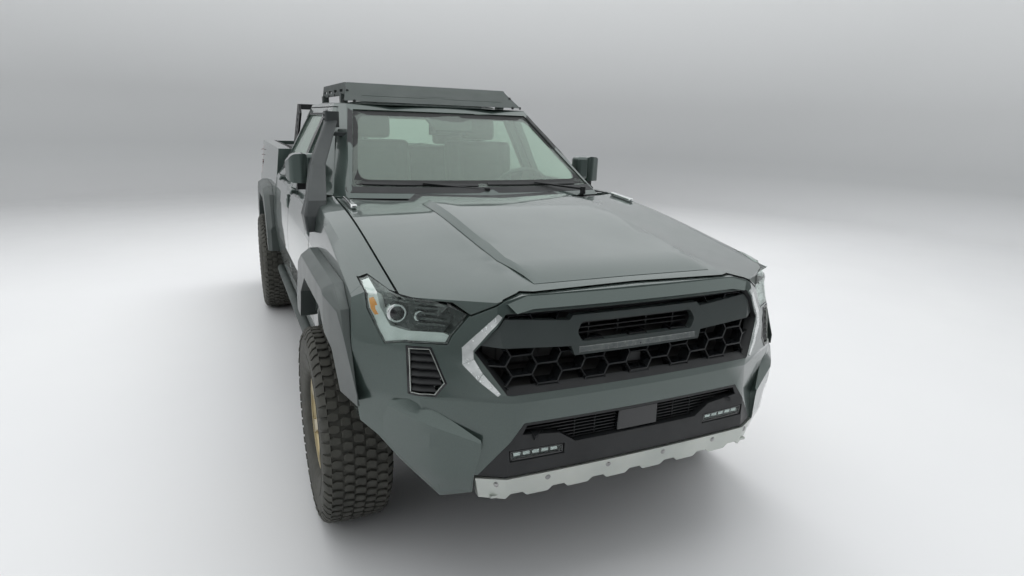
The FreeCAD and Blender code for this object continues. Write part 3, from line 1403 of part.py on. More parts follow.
def make_rock_rails():
    """Sill guards: a round tube on outriggers from the chassis rails."""
    start, end = front_y + 620, front_y + 2780
    rail_x = 905
    tube = rod(30, end - start, V(rail_x, start, 470), V(0, 1, 0))
    inner = d.frame_rail_offset + d.frame_rail_width / 2
    arms = []
    for y in (front_y + 760, front_y + 1500, front_y + 2300):
        arms.append(block(inner, rail_x, y - 20, y + 20, 466, 496))
        arms.append(block(inner, inner + 20, y - 20, y + 20, 480, 560))
    return set_piece("rock_rails", with_mirror(tube.fuse(arms)))


def make_mirror():
    """Left door mirror on its arm, and its twin."""
    y0 = front_y + 1010
    shell = plan_prism([(866, y0 - 10, 20), (884, y0 - 58, 30), (962, y0 - 24, 40), (980, y0 + 70, 12),
                        (868, y0 + 70, 12)], 1344, 1500)
    crown = front_prism([(850, 1344), (850, 1470, 30), (884, 1500, 30), (948, 1494, 40), (982, 1446, 30),
                         (974, 1356, 20), (950, 1344)], y0 - 100, y0 + 100)
    arm = block(836, 926, y0 - 6, y0 + 40, 1306, 1332)
    neck = block(880, 926, y0 - 6, y0 + 40, 1330, 1350)
    return shell.common(crown).fuse([arm, neck])


make_cowl()
make_snorkel()
set_piece("roof_rack", make_rack().fuse(make_deflector()))
make_sport_bar()
make_rock_rails()
set_piece("wheel_liners", Part.makeCompound(make_liners()))
mirror = make_mirror().cut(nodes["front_left_door"].Shape).cut(nodes["front_left_window"].Shape)
set_piece("left_mirror", mirror)
set_piece("right_mirror", mirror_x(mirror))


# ---------------------------------------------------------------- check and write

doc.recompute()
for item in doc.Objects:
    if "Invalid" in item.State or "Error" in item.State:
        raise RuntimeError(f"{item.Label} is {item.State}")
for name, item in nodes.items():
    if item.Shape.isNull() or not item.Shape.isValid():
        raise RuntimeError(f"{name} has no valid shape")
os.makedirs("parts", exist_ok=True)
for name, item in nodes.items():
    item.Shape.exportStep(os.path.join("parts", name + ".step"))
    print(name, len(item.Shape.Solids), round(item.Shape.Volume / 1e6, 2))
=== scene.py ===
"""Lifted off-road pickup: finishes, detail pieces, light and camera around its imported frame."""

import json
import math

import bmesh
import bpy
from mathutils import Matrix, Vector
from mathutils.bvhtree import BVHTree

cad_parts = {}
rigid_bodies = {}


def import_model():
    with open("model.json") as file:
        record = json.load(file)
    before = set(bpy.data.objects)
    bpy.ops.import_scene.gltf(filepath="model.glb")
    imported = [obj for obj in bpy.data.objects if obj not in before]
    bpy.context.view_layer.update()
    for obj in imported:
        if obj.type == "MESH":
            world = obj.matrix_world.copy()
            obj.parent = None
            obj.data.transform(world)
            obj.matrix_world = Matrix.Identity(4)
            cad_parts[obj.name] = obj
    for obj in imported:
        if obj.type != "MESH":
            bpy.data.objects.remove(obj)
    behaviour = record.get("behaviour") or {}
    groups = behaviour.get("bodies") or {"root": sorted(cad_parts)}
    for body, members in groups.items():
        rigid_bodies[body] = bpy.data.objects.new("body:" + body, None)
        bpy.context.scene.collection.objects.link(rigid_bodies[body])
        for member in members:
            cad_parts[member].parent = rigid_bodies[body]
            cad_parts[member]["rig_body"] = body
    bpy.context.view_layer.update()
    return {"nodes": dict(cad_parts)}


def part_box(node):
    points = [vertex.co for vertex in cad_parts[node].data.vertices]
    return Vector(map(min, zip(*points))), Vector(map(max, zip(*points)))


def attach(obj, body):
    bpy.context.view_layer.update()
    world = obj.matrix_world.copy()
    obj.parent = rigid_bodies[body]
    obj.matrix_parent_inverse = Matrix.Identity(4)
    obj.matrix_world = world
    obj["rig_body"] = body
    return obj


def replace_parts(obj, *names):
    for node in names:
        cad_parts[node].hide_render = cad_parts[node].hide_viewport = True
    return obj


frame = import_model()

LEFT, RIGHT = 1, -1
SIDES = ((LEFT, "left"), (RIGHT, "right"))


# ---------------------------------------------------------------- finishes

def noise(tree, place, scale, detail=3.0):
    """Soft drift from 0 to 1 over a place."""
    made = tree.nodes.new("ShaderNodeTexNoise")
    made.inputs["Scale"].default_value = scale
    made.inputs["Detail"].default_value = detail
    tree.links.new(place, made.inputs["Vector"])
    return made.outputs["Fac"]


def ranged(tree, source, low, high, start=0.3, end=0.7):
    """The source's span from start to end stretched to low and high."""
    made = tree.nodes.new("ShaderNodeMapRange")
    for socket, value in (("From Min", start), ("From Max", end), ("To Min", low), ("To Max", high)):
        made.inputs[socket].default_value = value
    tree.links.new(source, made.inputs["Value"])
    return made.outputs["Result"]


def math_of(tree, operation, source, value):
    """One sum of a source and a fixed value."""
    made = tree.nodes.new("ShaderNodeMath")
    made.operation = operation
    tree.links.new(source, made.inputs[0])
    made.inputs[1].default_value = value
    return made.outputs["Value"]


def blend_of(tree, factor, first, second):
    """Mix of two colours, each fixed or from a socket."""
    made = tree.nodes.new("ShaderNodeMix")
    made.data_type = "RGBA"
    tree.links.new(factor, made.inputs["Factor"])
    colours = [socket for socket in made.inputs if socket.type == "RGBA"]
    for socket, value in zip(colours, (first, second)):
        if isinstance(value, tuple):
            socket.default_value = (*value, 1)
        else:
            tree.links.new(value, socket)
    return [socket for socket in made.outputs if socket.type == "RGBA"][0]


def shader_mix(tree, factor, first, second):
    """Mix of two shaders, the factor fixed or from a socket."""
    made = tree.nodes.new("ShaderNodeMixShader")
    if isinstance(factor, float):
        made.inputs["Fac"].default_value = factor
    else:
        tree.links.new(factor, made.inputs["Fac"])
    tree.links.new(first, made.inputs[1])
    tree.links.new(second, made.inputs[2])
    return made.outputs["Shader"]


FLAKE_SCALE = 700.0


def finish(name, dark, light, roughness, tone_scale, grain, bump, depth=0.0004, flakes=0.0, **constants):
    """A surface with drifting tone between two colours, drifting roughness, and a fine grain of this scale,
    strength and depth. Flakes lighten it in sparks, and constants set the shader's other sockets."""
    made = bpy.data.materials.new(name)
    made.use_nodes = True
    tree = made.node_tree
    shader = tree.nodes["Principled BSDF"]
    place = tree.nodes.new("ShaderNodeTexCoord").outputs["Object"]
    colour = blend_of(tree, ranged(tree, noise(tree, place, tone_scale), 0, 1), dark, light)
    if flakes:
        cells = tree.nodes.new("ShaderNodeTexVoronoi")
        cells.inputs["Scale"].default_value = FLAKE_SCALE
        tree.links.new(place, cells.inputs["Vector"])
        spark = ranged(tree, cells.outputs["Distance"], flakes, 0, 0.0, 0.7)
        brighter = tuple(min(1.0, 1.7 * c + 0.02) for c in light)
        colour = blend_of(tree, spark, colour, brighter)
    tree.links.new(colour, shader.inputs["Base Color"])
    rough = ranged(tree, noise(tree, place, tone_scale * 3), roughness[0], roughness[1])
    tree.links.new(rough, shader.inputs["Roughness"])
    relief = tree.nodes.new("ShaderNodeBump")
    relief.inputs["Strength"].default_value = bump
    relief.inputs["Distance"].default_value = depth
    tree.links.new(noise(tree, place, grain, 4), relief.inputs["Height"])
    tree.links.new(relief.outputs["Normal"], shader.inputs["Normal"])
    for key, value in constants.items():
        shader.inputs[key.replace("_", " ")].default_value = value
    return made


paint = finish("grey_green_paint", (0.056, 0.080, 0.072), (0.062, 0.088, 0.079), (0.30, 0.36), 1.2, 25, 0.004,
               flakes=0.35, Metallic=0.6, Coat_Weight=1.0, Coat_Roughness=0.03, Coat_IOR=1.6)
flare_grey = finish("satin_flare_grey", (0.044, 0.056, 0.053), (0.052, 0.064, 0.060), (0.42, 0.5), 2, 240,
                    0.05, Coat_Weight=0.3, Coat_Roughness=0.25)
rack_grey = finish("rack_powder_coat", (0.045, 0.056, 0.053), (0.056, 0.068, 0.064), (0.5, 0.62), 3, 420,
                   0.25)
black_trim = finish("black_moulded_trim", (0.010, 0.011, 0.012), (0.018, 0.019, 0.020), (0.38, 0.52), 5, 520,
                    0.2)
gloss_black = finish("gloss_black", (0.006, 0.007, 0.008), (0.010, 0.011, 0.012), (0.08, 0.14), 3, 40, 0.02,
                     Coat_Weight=0.6, Coat_Roughness=0.03)
grille_grey = finish("grille_bar_grey", (0.040, 0.050, 0.049), (0.050, 0.060, 0.058), (0.34, 0.44), 3, 420,
                     0.12)
grey_trim = finish("dark_grey_trim", (0.030, 0.035, 0.036), (0.042, 0.048, 0.048), (0.4, 0.5), 4, 380, 0.15)
steel = finish("bare_steel", (0.30, 0.30, 0.30), (0.44, 0.44, 0.43), (0.26, 0.42), 9, 300, 0.12, Metallic=1.0)
aluminium = finish("brushed_silver", (0.50, 0.53, 0.50), (0.62, 0.64, 0.60), (0.3, 0.42), 4, 260, 0.08,
                   Metallic=0.85)
chrome = finish("bright_chrome", (0.78, 0.80, 0.80), (0.88, 0.89, 0.88), (0.04, 0.10), 5, 40, 0.02,
                Metallic=1.0)
chassis_black = finish("chassis_black", (0.010, 0.010, 0.010), (0.022, 0.021, 0.020), (0.45, 0.65), 7, 200,
                       0.25)
cast_iron = finish("cast_iron", (0.09, 0.085, 0.08), (0.15, 0.145, 0.14), (0.5, 0.7), 12, 260, 0.5,
                   Metallic=0.7)
rubber = finish("tyre_rubber", (0.044, 0.044, 0.037), (0.070, 0.069, 0.058), (0.62, 0.8), 14, 500, 0.3)
bronze = finish("bronze_rim", (0.50, 0.42, 0.25), (0.60, 0.51, 0.32), (0.28, 0.4), 6, 320, 0.05,
                Metallic=0.75, Coat_Weight=0.4, Coat_Roughness=0.1)
cabin = finish("cabin_plastic", (0.050, 0.052, 0.052), (0.072, 0.074, 0.073), (0.5, 0.65), 6, 620, 0.3)
liner_spray = finish("sprayed_bed_liner", (0.012, 0.012, 0.012), (0.026, 0.026, 0.026), (0.6, 0.8), 20, 330,
                     0.9, depth=0.0012)
arch_liner = finish("arch_liner", (0.008, 0.009, 0.011), (0.016, 0.018, 0.022), (0.55, 0.75), 9, 150, 0.4,
                    depth=0.001)
mirror_glass = finish("mirror_glass", (0.70, 0.73, 0.74), (0.76, 0.78, 0.79), (0.01, 0.03), 3, 20, 0.01,
                      Metallic=1.0)
amber = finish("amber_marker", (0.85, 0.30, 0.03), (0.95, 0.40, 0.06), (0.2, 0.3), 30, 150, 0.2,
               Coat_Weight=0.8)
lamp_silver = finish("lamp_reflector", (0.55, 0.57, 0.57), (0.72, 0.74, 0.73), (0.12, 0.22), 20, 90, 0.08,
                     Metallic=0.9)
lamp_dark = finish("lamp_inner_shell", (0.10, 0.108, 0.105), (0.15, 0.16, 0.155), (0.22, 0.32), 15, 120, 0.06,
                   Metallic=0.4)
light_bar_white = finish("light_bar_diffuser", (0.09, 0.10, 0.10), (0.14, 0.155, 0.15), (0.18, 0.3), 40, 240,
                         0.3, Coat_Weight=0.8)
red_lens = finish("red_lamp_lens", (0.30, 0.008, 0.008), (0.42, 0.015, 0.012), (0.08, 0.16), 30, 160, 0.2,
                  Coat_Weight=1.0, Coat_Roughness=0.03)
strip_silver = finish("corner_strip_silver", (0.62, 0.65, 0.64), (0.84, 0.86, 0.85), (0.16, 0.30), 26, 130,
                      0.25, depth=0.0008, Metallic=0.55, Coat_Weight=0.7, Coat_Roughness=0.05)
drl_band = finish("lamp_light_band", (0.66, 0.70, 0.68), (0.80, 0.83, 0.81), (0.10, 0.2), 18, 70, 0.2,
                  depth=0.001, Coat_Weight=1.0, Coat_Roughness=0.05)
seal_black = finish("window_seal", (0.007, 0.008, 0.008), (0.014, 0.015, 0.015), (0.5, 0.62), 20, 600, 0.2)
cloth = finish("seat_cloth", (0.055, 0.056, 0.057), (0.10, 0.10, 0.10), (0.75, 0.9), 60, 700, 0.7,
               Sheen_Weight=0.4)


# Share of light that glass mirrors: face on, and added to it at a slant.
FACE_ON_SHARE = 0.03
SLANT_SHARE = 0.85
SLANT_POWER = 4.0
MIRRORED_TINT = (0.95, 1.0, 0.97, 1)


def glass_finish(name, tint, roughness, haze=0.0):
    """Pane that passes light straight through, tinted, mirrors it at a slant, and is veiled by haze."""
    made = bpy.data.materials.new(name)
    made.use_nodes = True
    tree = made.node_tree
    tree.nodes.remove(tree.nodes["Principled BSDF"])
    place = tree.nodes.new("ShaderNodeTexCoord").outputs["Object"]
    through = tree.nodes.new("ShaderNodeBsdfTransparent")
    deeper = tuple(0.96 * c for c in tint)
    tree.links.new(blend_of(tree, ranged(tree, noise(tree, place, 2.0), 0, 1), tint, deeper),
                   through.inputs["Color"])
    gloss = tree.nodes.new("ShaderNodeBsdfGlossy")
    gloss.inputs["Color"].default_value = MIRRORED_TINT
    rough = ranged(tree, noise(tree, place, 3.0), roughness[0], roughness[1])
    tree.links.new(rough, gloss.inputs["Roughness"])
    slant = tree.nodes.new("ShaderNodeLayerWeight").outputs["Facing"]
    steep = math_of(tree, "MULTIPLY", math_of(tree, "POWER", slant, SLANT_POWER), SLANT_SHARE)
    shader = shader_mix(tree, math_of(tree, "ADD", steep, FACE_ON_SHARE), through.outputs["BSDF"],
                        gloss.outputs["BSDF"])
    if haze:
        veil = tree.nodes.new("ShaderNodeBsdfDiffuse")
        veil.inputs["Color"].default_value = (*tint, 1)
        shader = shader_mix(tree, haze, shader, veil.outputs["BSDF"])
    tree.links.new(shader, tree.nodes["Material Output"].inputs["Surface"])
    return made


pane_glass = glass_finish("green_pane_glass", (0.86, 0.95, 0.89), (0.0, 0.01), haze=0.07)
smoked_lens = glass_finish("smoked_lamp_lens", (0.92, 0.95, 0.94), (0.01, 0.03))


# ---------------------------------------------------------------- making and placing pieces

def shade(mesh, angle):
    """Smooth shading, sharp at edges steeper than angle degrees."""
    mesh.shade_smooth()
    mesh.set_sharp_from_angle(angle=math.radians(angle))


def piece(name, body, material, slot_name, bm, smooth=32, bevel=0.0, segments=2, materials=()):
    """Makes a mesh object of bm that rides on body."""
    mesh = bpy.data.meshes.new(name)
    bm.to_mesh(mesh)
    bm.free()
    for used in (material, *materials):
        mesh.materials.append(used)
    made = bpy.data.objects.new(name, mesh)
    bpy.context.scene.collection.objects.link(made)
    shade(mesh, smooth)
    if bevel:
        round_edges(made, bevel, segments, smooth)
    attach(made, body)
    return made


def round_edges(made, width, segments, angle):
    """Rounds a piece's edges that are steeper than angle degrees."""
    rounded = made.modifiers.new("edge_round", "BEVEL")
    rounded.width = width
    rounded.segments = segments
    rounded.limit_method = "ANGLE"
    rounded.angle_limit = math.radians(angle)
    rounded.use_clamp_overlap = True
    weighted = made.modifiers.new("even_shading", "WEIGHTED_NORMAL")
    weighted.keep_sharp = True
    weighted.weight = 60


DRESS_ANGLE = 30


def dress(node_name, material, slot_name, width, segments=2, zones=()):
    """A finished copy of a frame node: merged, edges rounded, zones of it in other materials.
    Each zone is a material and a test of a face's middle and normal."""
    source = frame["nodes"][node_name]
    bm = bmesh.new()
    bm.from_mesh(source.data)
    bmesh.ops.remove_doubles(bm, verts=bm.verts, dist=2e-5)
    bmesh.ops.dissolve_limit(bm, angle_limit=math.radians(0.4), verts=bm.verts, edges=bm.edges)
    bm.normal_update()
    for face in bm.faces:
        face.material_index = 0
        for number, (_, test) in enumerate(zones, 1):
            if test(face.calc_center_median(), face.normal):
                face.material_index = number
    made = piece(node_name + "_finished", source["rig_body"], material, slot_name, bm, smooth=DRESS_ANGLE,
                 materials=[zone[0] for zone in zones])
    if width:
        round_edges(made, width, segments, DRESS_ANGLE)
    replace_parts(made, node_name)


def outwards(bm):
    """Turns every face of a mesh outwards."""
    bmesh.ops.recalc_face_normals(bm, faces=bm.faces)
    return bm


def thickened(bm, thickness):
    """A sheet given thickness on its inner side."""
    bmesh.ops.solidify(bm, geom=bm.faces[:], thickness=thickness)
    return outwards(bm)


def cut(bm, place, normal, **sides):
    """Cuts a whole mesh along a plane."""
    bmesh.ops.bisect_plane(bm, geom=bm.verts[:] + bm.edges[:] + bm.faces[:], plane_co=place, plane_no=normal,
                           **sides)


def surface_of(*names):
    """Ray target of the named frame nodes together."""
    bm = bmesh.new()
    for name in names:
        bm.from_mesh(frame["nodes"][name].data)
    tree = BVHTree.FromBMesh(bm)
    bm.free()
    return tree


# Each view: where a ray starts over its two coordinates, the ray's direction, and the axes of the two.
VIEWS = {
    "front": (lambda a, b: Vector((a, -4, b)), Vector((0, 1, 0)), (0, 2)),
    "rear": (lambda a, b: Vector((a, 4, b)), Vector((0, -1, 0)), (0, 2)),
    "left": (lambda a, b: Vector((3, a, b)), Vector((-1, 0, 0)), (1, 2)),
    "right": (lambda a, b: Vector((-3, a, b)), Vector((1, 0, 0)), (1, 2)),
    "top": (lambda a, b: Vector((a, b, 4)), Vector((0, 0, -1)), (0, 1)),
}


def met(tree, view, a, b):
    """The point where a view's ray meets a surface, or None past its edge."""
    start, direction, _ = VIEWS[view]
    return tree.ray_cast(start(a, b), direction)[0]


def oblong(a0, a1, b0, b1):
    """Outline of a rectangle in a view."""
    return [(a0, b0), (a1, b0), (a1, b1), (a0, b1)]


def sides_of(outline):
    """Each corner of an outline with the next one."""
    return list(zip(outline, outline[1:] + outline[:1]))


# Rays of an outline's corners start this far inside it, so that none slips past the surface's edge.
PROBE_INSET = 0.003


def laid(tree, outline, view, lift, thickness, step=0.03, creases=()):
    """Plate with this outline in a view, laid on a surface. Its face is lift above it, or as a rule of the
    view's two coordinates says. It bends every step, and along each crease."""
    start, direction, axes = VIEWS[view]
    bm = bmesh.new()
    bm.faces.new([bm.verts.new(start(a, b)) for a, b in outline])
    for axis, values in zip(axes, zip(*outline)):
        low, high = min(values), max(values)
        normal, point = Vector((0, 0, 0)), Vector((0, 0, 0))
        normal[axis] = 1
        count = int((high - low) / step)
        for k in range(1, count + 1):
            point[axis] = low + (high - low) * k / (count + 1)
            cut(bm, point, normal)
    for (a0, b0), (a1, b1) in creases:
        cut(bm, start(a0, b0), (start(a1, b1) - start(a0, b0)).cross(direction))
    middle = start(*(sum(values) / len(values) for values in zip(*outline)))
    for vert in bm.verts:
        inwards = middle - vert.co
        probe = vert.co + inwards * min(1.0, PROBE_INSET / max(inwards.length, 1e-6))
        hit = tree.ray_cast(probe, direction)[0]
        if hit is None:
            hit = tree.find_nearest(probe + direction * 1.5)[0]
        raised = lift(*(vert.co[axis] for axis in axes)) if callable(lift) else lift
        vert.co += direction * ((hit - vert.co).dot(direction) - raised)
    bm.normal_update()
    lead = sum((f.normal * f.calc_area() for f in bm.faces), Vector())
    if lead.dot(direction) > 0:
        bmesh.ops.reverse_faces(bm, faces=bm.faces)
    return thickened(bm, thickness)


def plates(tree, outlines, view, lift, thickness, step=0.03):
    """Several plates laid on a surface alike, as one mesh."""
    whole = bmesh.new()
    for outline in outlines:
        join(whole, laid(tree, outline, view, lift, thickness, step))
    return whole


def corners_of(outline):
    """Each corner of an outline between the ones before and after it."""
    points = [Vector(point) for point in outline]
    return zip(points[-1:] + points[:-1], points, points[1:] + points[:1])


def shrunk(outline, by):
    """The outline with each corner moved inwards by a distance."""
    turn = 1 if sum(a[0] * b[1] - b[0] * a[1] for a, b in sides_of(outline)) > 0 else -1
    result = []
    for before, here, after in corners_of(outline):
        first = (here - before).normalized()
        second = (after - here).normalized()
        first_in = Vector((-first.y, first.x)) * turn
        second_in = Vector((-second.y, second.x)) * turn
        middle = (first_in + second_in).normalized()
        result.append(tuple(here + middle * by / max(0.35, middle.dot(first_in))))
    return result


ROUND_STEPS = 4


def rounded(outline, radius):
    """The outline with its corners swept round."""
    result = []
    for before, here, after in corners_of(outline):
        reach = min(radius, (before - here).length * 0.45, (after - here).length * 0.45)
        first = here + (before - here).normalized() * reach
        last = here + (after - here).normalized() * reach
        for k in range(ROUND_STEPS + 1):
            t = k / ROUND_STEPS
            result.append(tuple(first * (1 - t) ** 2 + here * 2 * t * (1 - t) + last * t ** 2))
    return result


def laid_ring(tree, outer, inner, view, lift, thickness, step, below=math.inf):
    """Ring between two outlines laid on a surface, but for the parts that lie above a level."""
    outlines = [(a, b, d, c) for (a, b), (c, d) in zip(sides_of(outer), sides_of(inner))
                if min(a[1], b[1]) < below]
    return plates(tree, outlines, view, lift, thickness, step)


def laid_band(tree, outline, view, lift, thickness, width, step=0.03):
    """Frame of even width just inside an outline, laid on a surface."""
    return laid_ring(tree, outline, shrunk(outline, width), view, lift, thickness, step)


def bridged(bm, rings, closed=False):
    """Skin between each ring of points and the next one, and from the last to the first if closed."""
    rings = [[bm.verts.new(point) for point in ring] for ring in rings]
    edges = [[bm.edges.new(pair) for pair in sides_of(ring)] for ring in rings]
    for first, second in sides_of(edges) if closed else zip(edges, edges[1:]):
        bmesh.ops.bridge_loops(bm, edges=first + second)
    return rings


REVEAL_STEP = 0.03


def reveal(tree, outline, width, depth, thickness):
    """Sloping frame that runs from the edge of a nose opening inwards and back."""
    outer, inner = [], []
    rings = (outline, shrunk(outline, -0.004), shrunk(outline, width))
    for ends in zip(*(sides_of(ring) for ring in rings)):
        here, there = (Vector(end) for end in ends[0])
        count = max(1, int((there - here).length / REVEAL_STEP))
        for k in range(count):
            at, probe, within = (Vector(a).lerp(Vector(b), k / count) for a, b in ends)
            hit = met(tree, "front", probe.x, probe.y)
            outer.append((at.x, hit.y + 0.001, at.y))
            inner.append((within.x, hit.y + depth, within.y))
    bm = bmesh.new()
    bridged(bm, (outer, inner))
    bm.normal_update()
    if sum(f.normal.y * f.calc_area() for f in bm.faces) > 0:
        bmesh.ops.reverse_faces(bm, faces=bm.faces)
    return thickened(bm, thickness)


def join(whole, part):
    """Adds one bmesh to another and frees it."""
    mesh = bpy.data.meshes.new("join")
    part.to_mesh(mesh)
    part.free()
    whole.from_mesh(mesh)
    bpy.data.meshes.remove(mesh)
    return whole


def slab(x0, x1, y0, y1, z0, z1):
    """Plain block between two limits on each axis."""
    bm = bmesh.new()
    size = Matrix.Diagonal((x1 - x0, y1 - y0, z1 - z0, 1))
    middle = Matrix.Translation(((x0 + x1) / 2, (y0 + y1) / 2, (z0 + z1) / 2))
    bmesh.ops.create_cube(bm, size=1, matrix=middle @ size)
    return bm


def tube(start, end, radius, sides, tip=None):
    """Closed round bar or cone between two points."""
    run = Vector(end) - Vector(start)
    turn = run.to_track_quat("Z", "Y").to_matrix().to_4x4()
    place = Matrix.Translation((Vector(start) + Vector(end)) / 2) @ turn
    bm = bmesh.new()
    bmesh.ops.create_cone(bm, cap_ends=True, segments=sides, radius1=radius,
                          radius2=radius if tip is None else tip, depth=run.length, matrix=place)
    return bm


def eased(bm, edges, width, segments):
    """Bevels these edges of a mesh."""
    bmesh.ops.bevel(bm, geom=edges, offset=width, offset_type="OFFSET", segments=segments, profile=0.5,
                    affect="EDGES", material=-1)
    return bm


def turned(profile, steps, closed=True):
    """Profile of (along, radius) points spun a full turn about the X axis. It is a closed loop, or an open
    line that starts and ends on the axis."""
    bm = bmesh.new()
    verts = [bm.verts.new((along, 0, radius)) for along, radius in profile]
    ends = verts[1:] + verts[:1] if closed else verts[1:]
    edges = [bm.edges.new(pair) for pair in zip(verts, ends)]
    bmesh.ops.spin(bm, geom=verts + edges, cent=(0, 0, 0), axis=(1, 0, 0), angle=2 * math.pi, steps=steps,
                   use_merge=True)
    bmesh.ops.remove_doubles(bm, verts=bm.verts, dist=1e-5)
    return outwards(bm)


def mirrored(bm):
    """The other side's copy of a mesh, across the truck's middle plane."""
    other = bm.copy()
    bmesh.ops.scale(other, vec=(-1, 1, 1), verts=other.verts)
    bmesh.ops.reverse_faces(other, faces=other.faces)
    return other


def with_other_side(bm):
    """A mesh together with its twin on the other side."""
    return join(bm, mirrored(bm))


def fixed(name, material, slot_name, bm, **looks):
    """A piece that rides on the chassis."""
    return piece(name, "chassis", material, slot_name, bm, **looks)


def twins(name, material, slot_name, bm, **looks):
    """A piece of the chassis that holds a mesh and its twin on the other side."""
    return fixed(name, material, slot_name, with_other_side(bm), **looks)


def moved(bm, vec):
    """Shifts a whole mesh."""
    bmesh.ops.translate(bm, vec=vec, verts=bm.verts)
    return bm


# ---------------------------------------------------------------- frame pieces in their finishes

CABIN_HALF, CABIN_LOW, CABIN_HIGH = 0.86, 0.75, 1.80


def faces_cabin(middle, normal):
    """Faces of the doors and the cab frame that look into the cabin."""
    return abs(middle.x) < CABIN_HALF and normal.x * middle.x < -0.2 and CABIN_LOW < middle.z < CABIN_HIGH


def is_hood_underside(middle, normal):
    """Faces of the hood that look down."""
    return normal.z < -0.2


def is_mirror_trim(middle, normal):
    """The arm, the inner end and the rear rim of a mirror's housing."""
    return middle.z < 1.352 or abs(middle.x) < 0.85 or normal.y > 0.6


INSIDE = [(cabin, faces_cabin)]
# Nodes, material, slot, width of their rounded edges, segments of the rounding, zones in other materials.
FRAME_FINISHES = (
    ("front_left_door front_right_door", paint, "body_paint", 0.004, 2, INSIDE),
    ("rear_left_door rear_right_door", paint, "body_paint", 0.004, 2, INSIDE),
    ("hood", paint, "body_paint", 0.004, 2, [(chassis_black, is_hood_underside)]),
    ("front_wings front_bumper", paint, "body_paint", 0.004),
    ("cab_frame", paint, "body_paint", 0.003, 2, INSIDE),
    ("roof_panel", paint, "body_paint", 0.003),
    ("bed_sides tailgate", paint, "body_paint", 0.004),
    ("bed_tub", liner_spray, "bed_liner", 0.003),
    ("wheel_arch_flares", flare_grey, "flare_finish", 0.005),
    ("roof_rack", rack_grey, "grey_trim", 0.002),
    ("sport_bar", black_trim, "black_trim", 0.003),
    ("rock_rails", rack_grey, "grey_trim", 0.004),
    ("snorkel", grey_trim, "grey_trim", 0.011, 4),
    ("skid_plate", aluminium, "bare_aluminium", 0.003),
    ("rear_bumper", black_trim, "black_trim", 0.004),
    ("cowl_panel", black_trim, "black_trim", 0.002),
    ("dashboard", cabin, "cabin_trim", 0.008, 3),
    ("cab_floor", cabin, "cabin_trim", 0.003),
    ("wheel_liners", arch_liner, "black_trim", 0.0),
    ("ladder_frame", chassis_black, "chassis_black", 0.003),
    ("front_structure", chassis_black, "chassis_black", 0.002),
    ("engine_block driveline", cast_iron, "cast_metal", 0.006),
    ("fuel_tank", black_trim, "black_trim", 0.015, 3),
    ("exhaust", steel, "bare_steel", 0.003),
    ("suspension", chassis_black, "chassis_black", 0.003),
    ("rear_axle", chassis_black, "chassis_black", 0.004),
    ("tail_lamps", red_lens, "red_lens", 0.006),
    ("front_left_knuckle front_right_knuckle", cast_iron, "cast_metal", 0.003),
    ("left_mirror right_mirror", paint, "body_paint", 0.024, 4, [(black_trim, is_mirror_trim)]),
    ("windscreen rear_window", pane_glass, "window_glass", 0.0),
    ("front_left_window front_right_window", pane_glass, "window_glass", 0.0),
    ("rear_left_window rear_right_window", pane_glass, "window_glass", 0.0),
    ("lower_grille", black_trim, "black_trim", 0.002),
    ("grille_bar", grille_grey, "grey_trim", 0.003),
)


def dress_frame():
    """Every frame node that shows as it is, in its own finish."""
    for nodes, *looks in FRAME_FINISHES:
        for name in nodes.split():
            dress(name, *looks)


# ---------------------------------------------------------------- nose

LAMP_OUTLINE = [(0.607, 1.100), (0.652, 1.131), (0.735, 1.133), (0.811, 1.142), (0.849, 1.160),
                (0.881, 1.151), (0.881, 1.081), (0.845, 0.980), (0.786, 0.996), (0.673, 1.000),
                (0.659, 1.030)]
LAMP_BAND = [(0.879, 1.148), (0.879, 1.082), (0.843, 0.983), (0.787, 0.999), (0.675, 1.003), (0.663, 1.026),
             (0.680, 1.032), (0.776, 1.029), (0.824, 1.036), (0.846, 1.090), (0.852, 1.156)]
LAMP_AMBER = [(0.862, 1.118), (0.874, 1.112), (0.872, 1.080), (0.862, 1.062), (0.850, 1.066), (0.853, 1.096)]
LAMP_TOP_FIN = [(0.660, 1.112), (0.835, 1.118), (0.835, 1.124), (0.664, 1.121)]
PROJECTOR = (0.800, 1.076)
SMALL_PROJECTOR = (0.735, 1.072)
VENT_OUTLINE = [(0.720, 0.988), (0.790, 0.986), (0.793, 0.831), (0.716, 0.829), (0.681, 0.874)]
STRIP_OUTER = [(0.532, 1.110), (0.636, 0.996), (0.637, 0.943), (0.594, 0.892), (0.538, 0.843)]
STRIP_INNER = [(0.520, 1.100), (0.604, 0.990), (0.604, 0.962), (0.580, 0.916), (0.530, 0.852)]
GRILLE_OUTLINE = [(0.505, 1.107), (0.600, 0.982), (0.510, 0.846), (-0.510, 0.846), (-0.600, 0.982),
                  (-0.505, 1.107)]


def disc_on(skin, place, view, lift, radius, thickness, sides=28, dome=0.0):
    """Round plate laid flat over a point of a surface, facing the view, crowned by dome."""
    start, direction, _ = VIEWS[view]
    hit = met(skin, view, *place) or skin.find_nearest(start(*place) + direction)[0]
    face = hit - direction * lift
    bm = tube(face + direction * thickness, face, radius, sides)
    if dome:
        top = [f for f in bm.faces if f.normal.dot(direction) < -0.9]
        bmesh.ops.inset_region(bm, faces=top, thickness=radius * 0.4, depth=dome)
        top = [f for f in bm.faces if len(f.verts) > 6 and f.normal.dot(direction) < -0.9]
        bmesh.ops.inset_region(bm, faces=top, thickness=radius * 0.35, depth=dome * 0.5)
    return bm


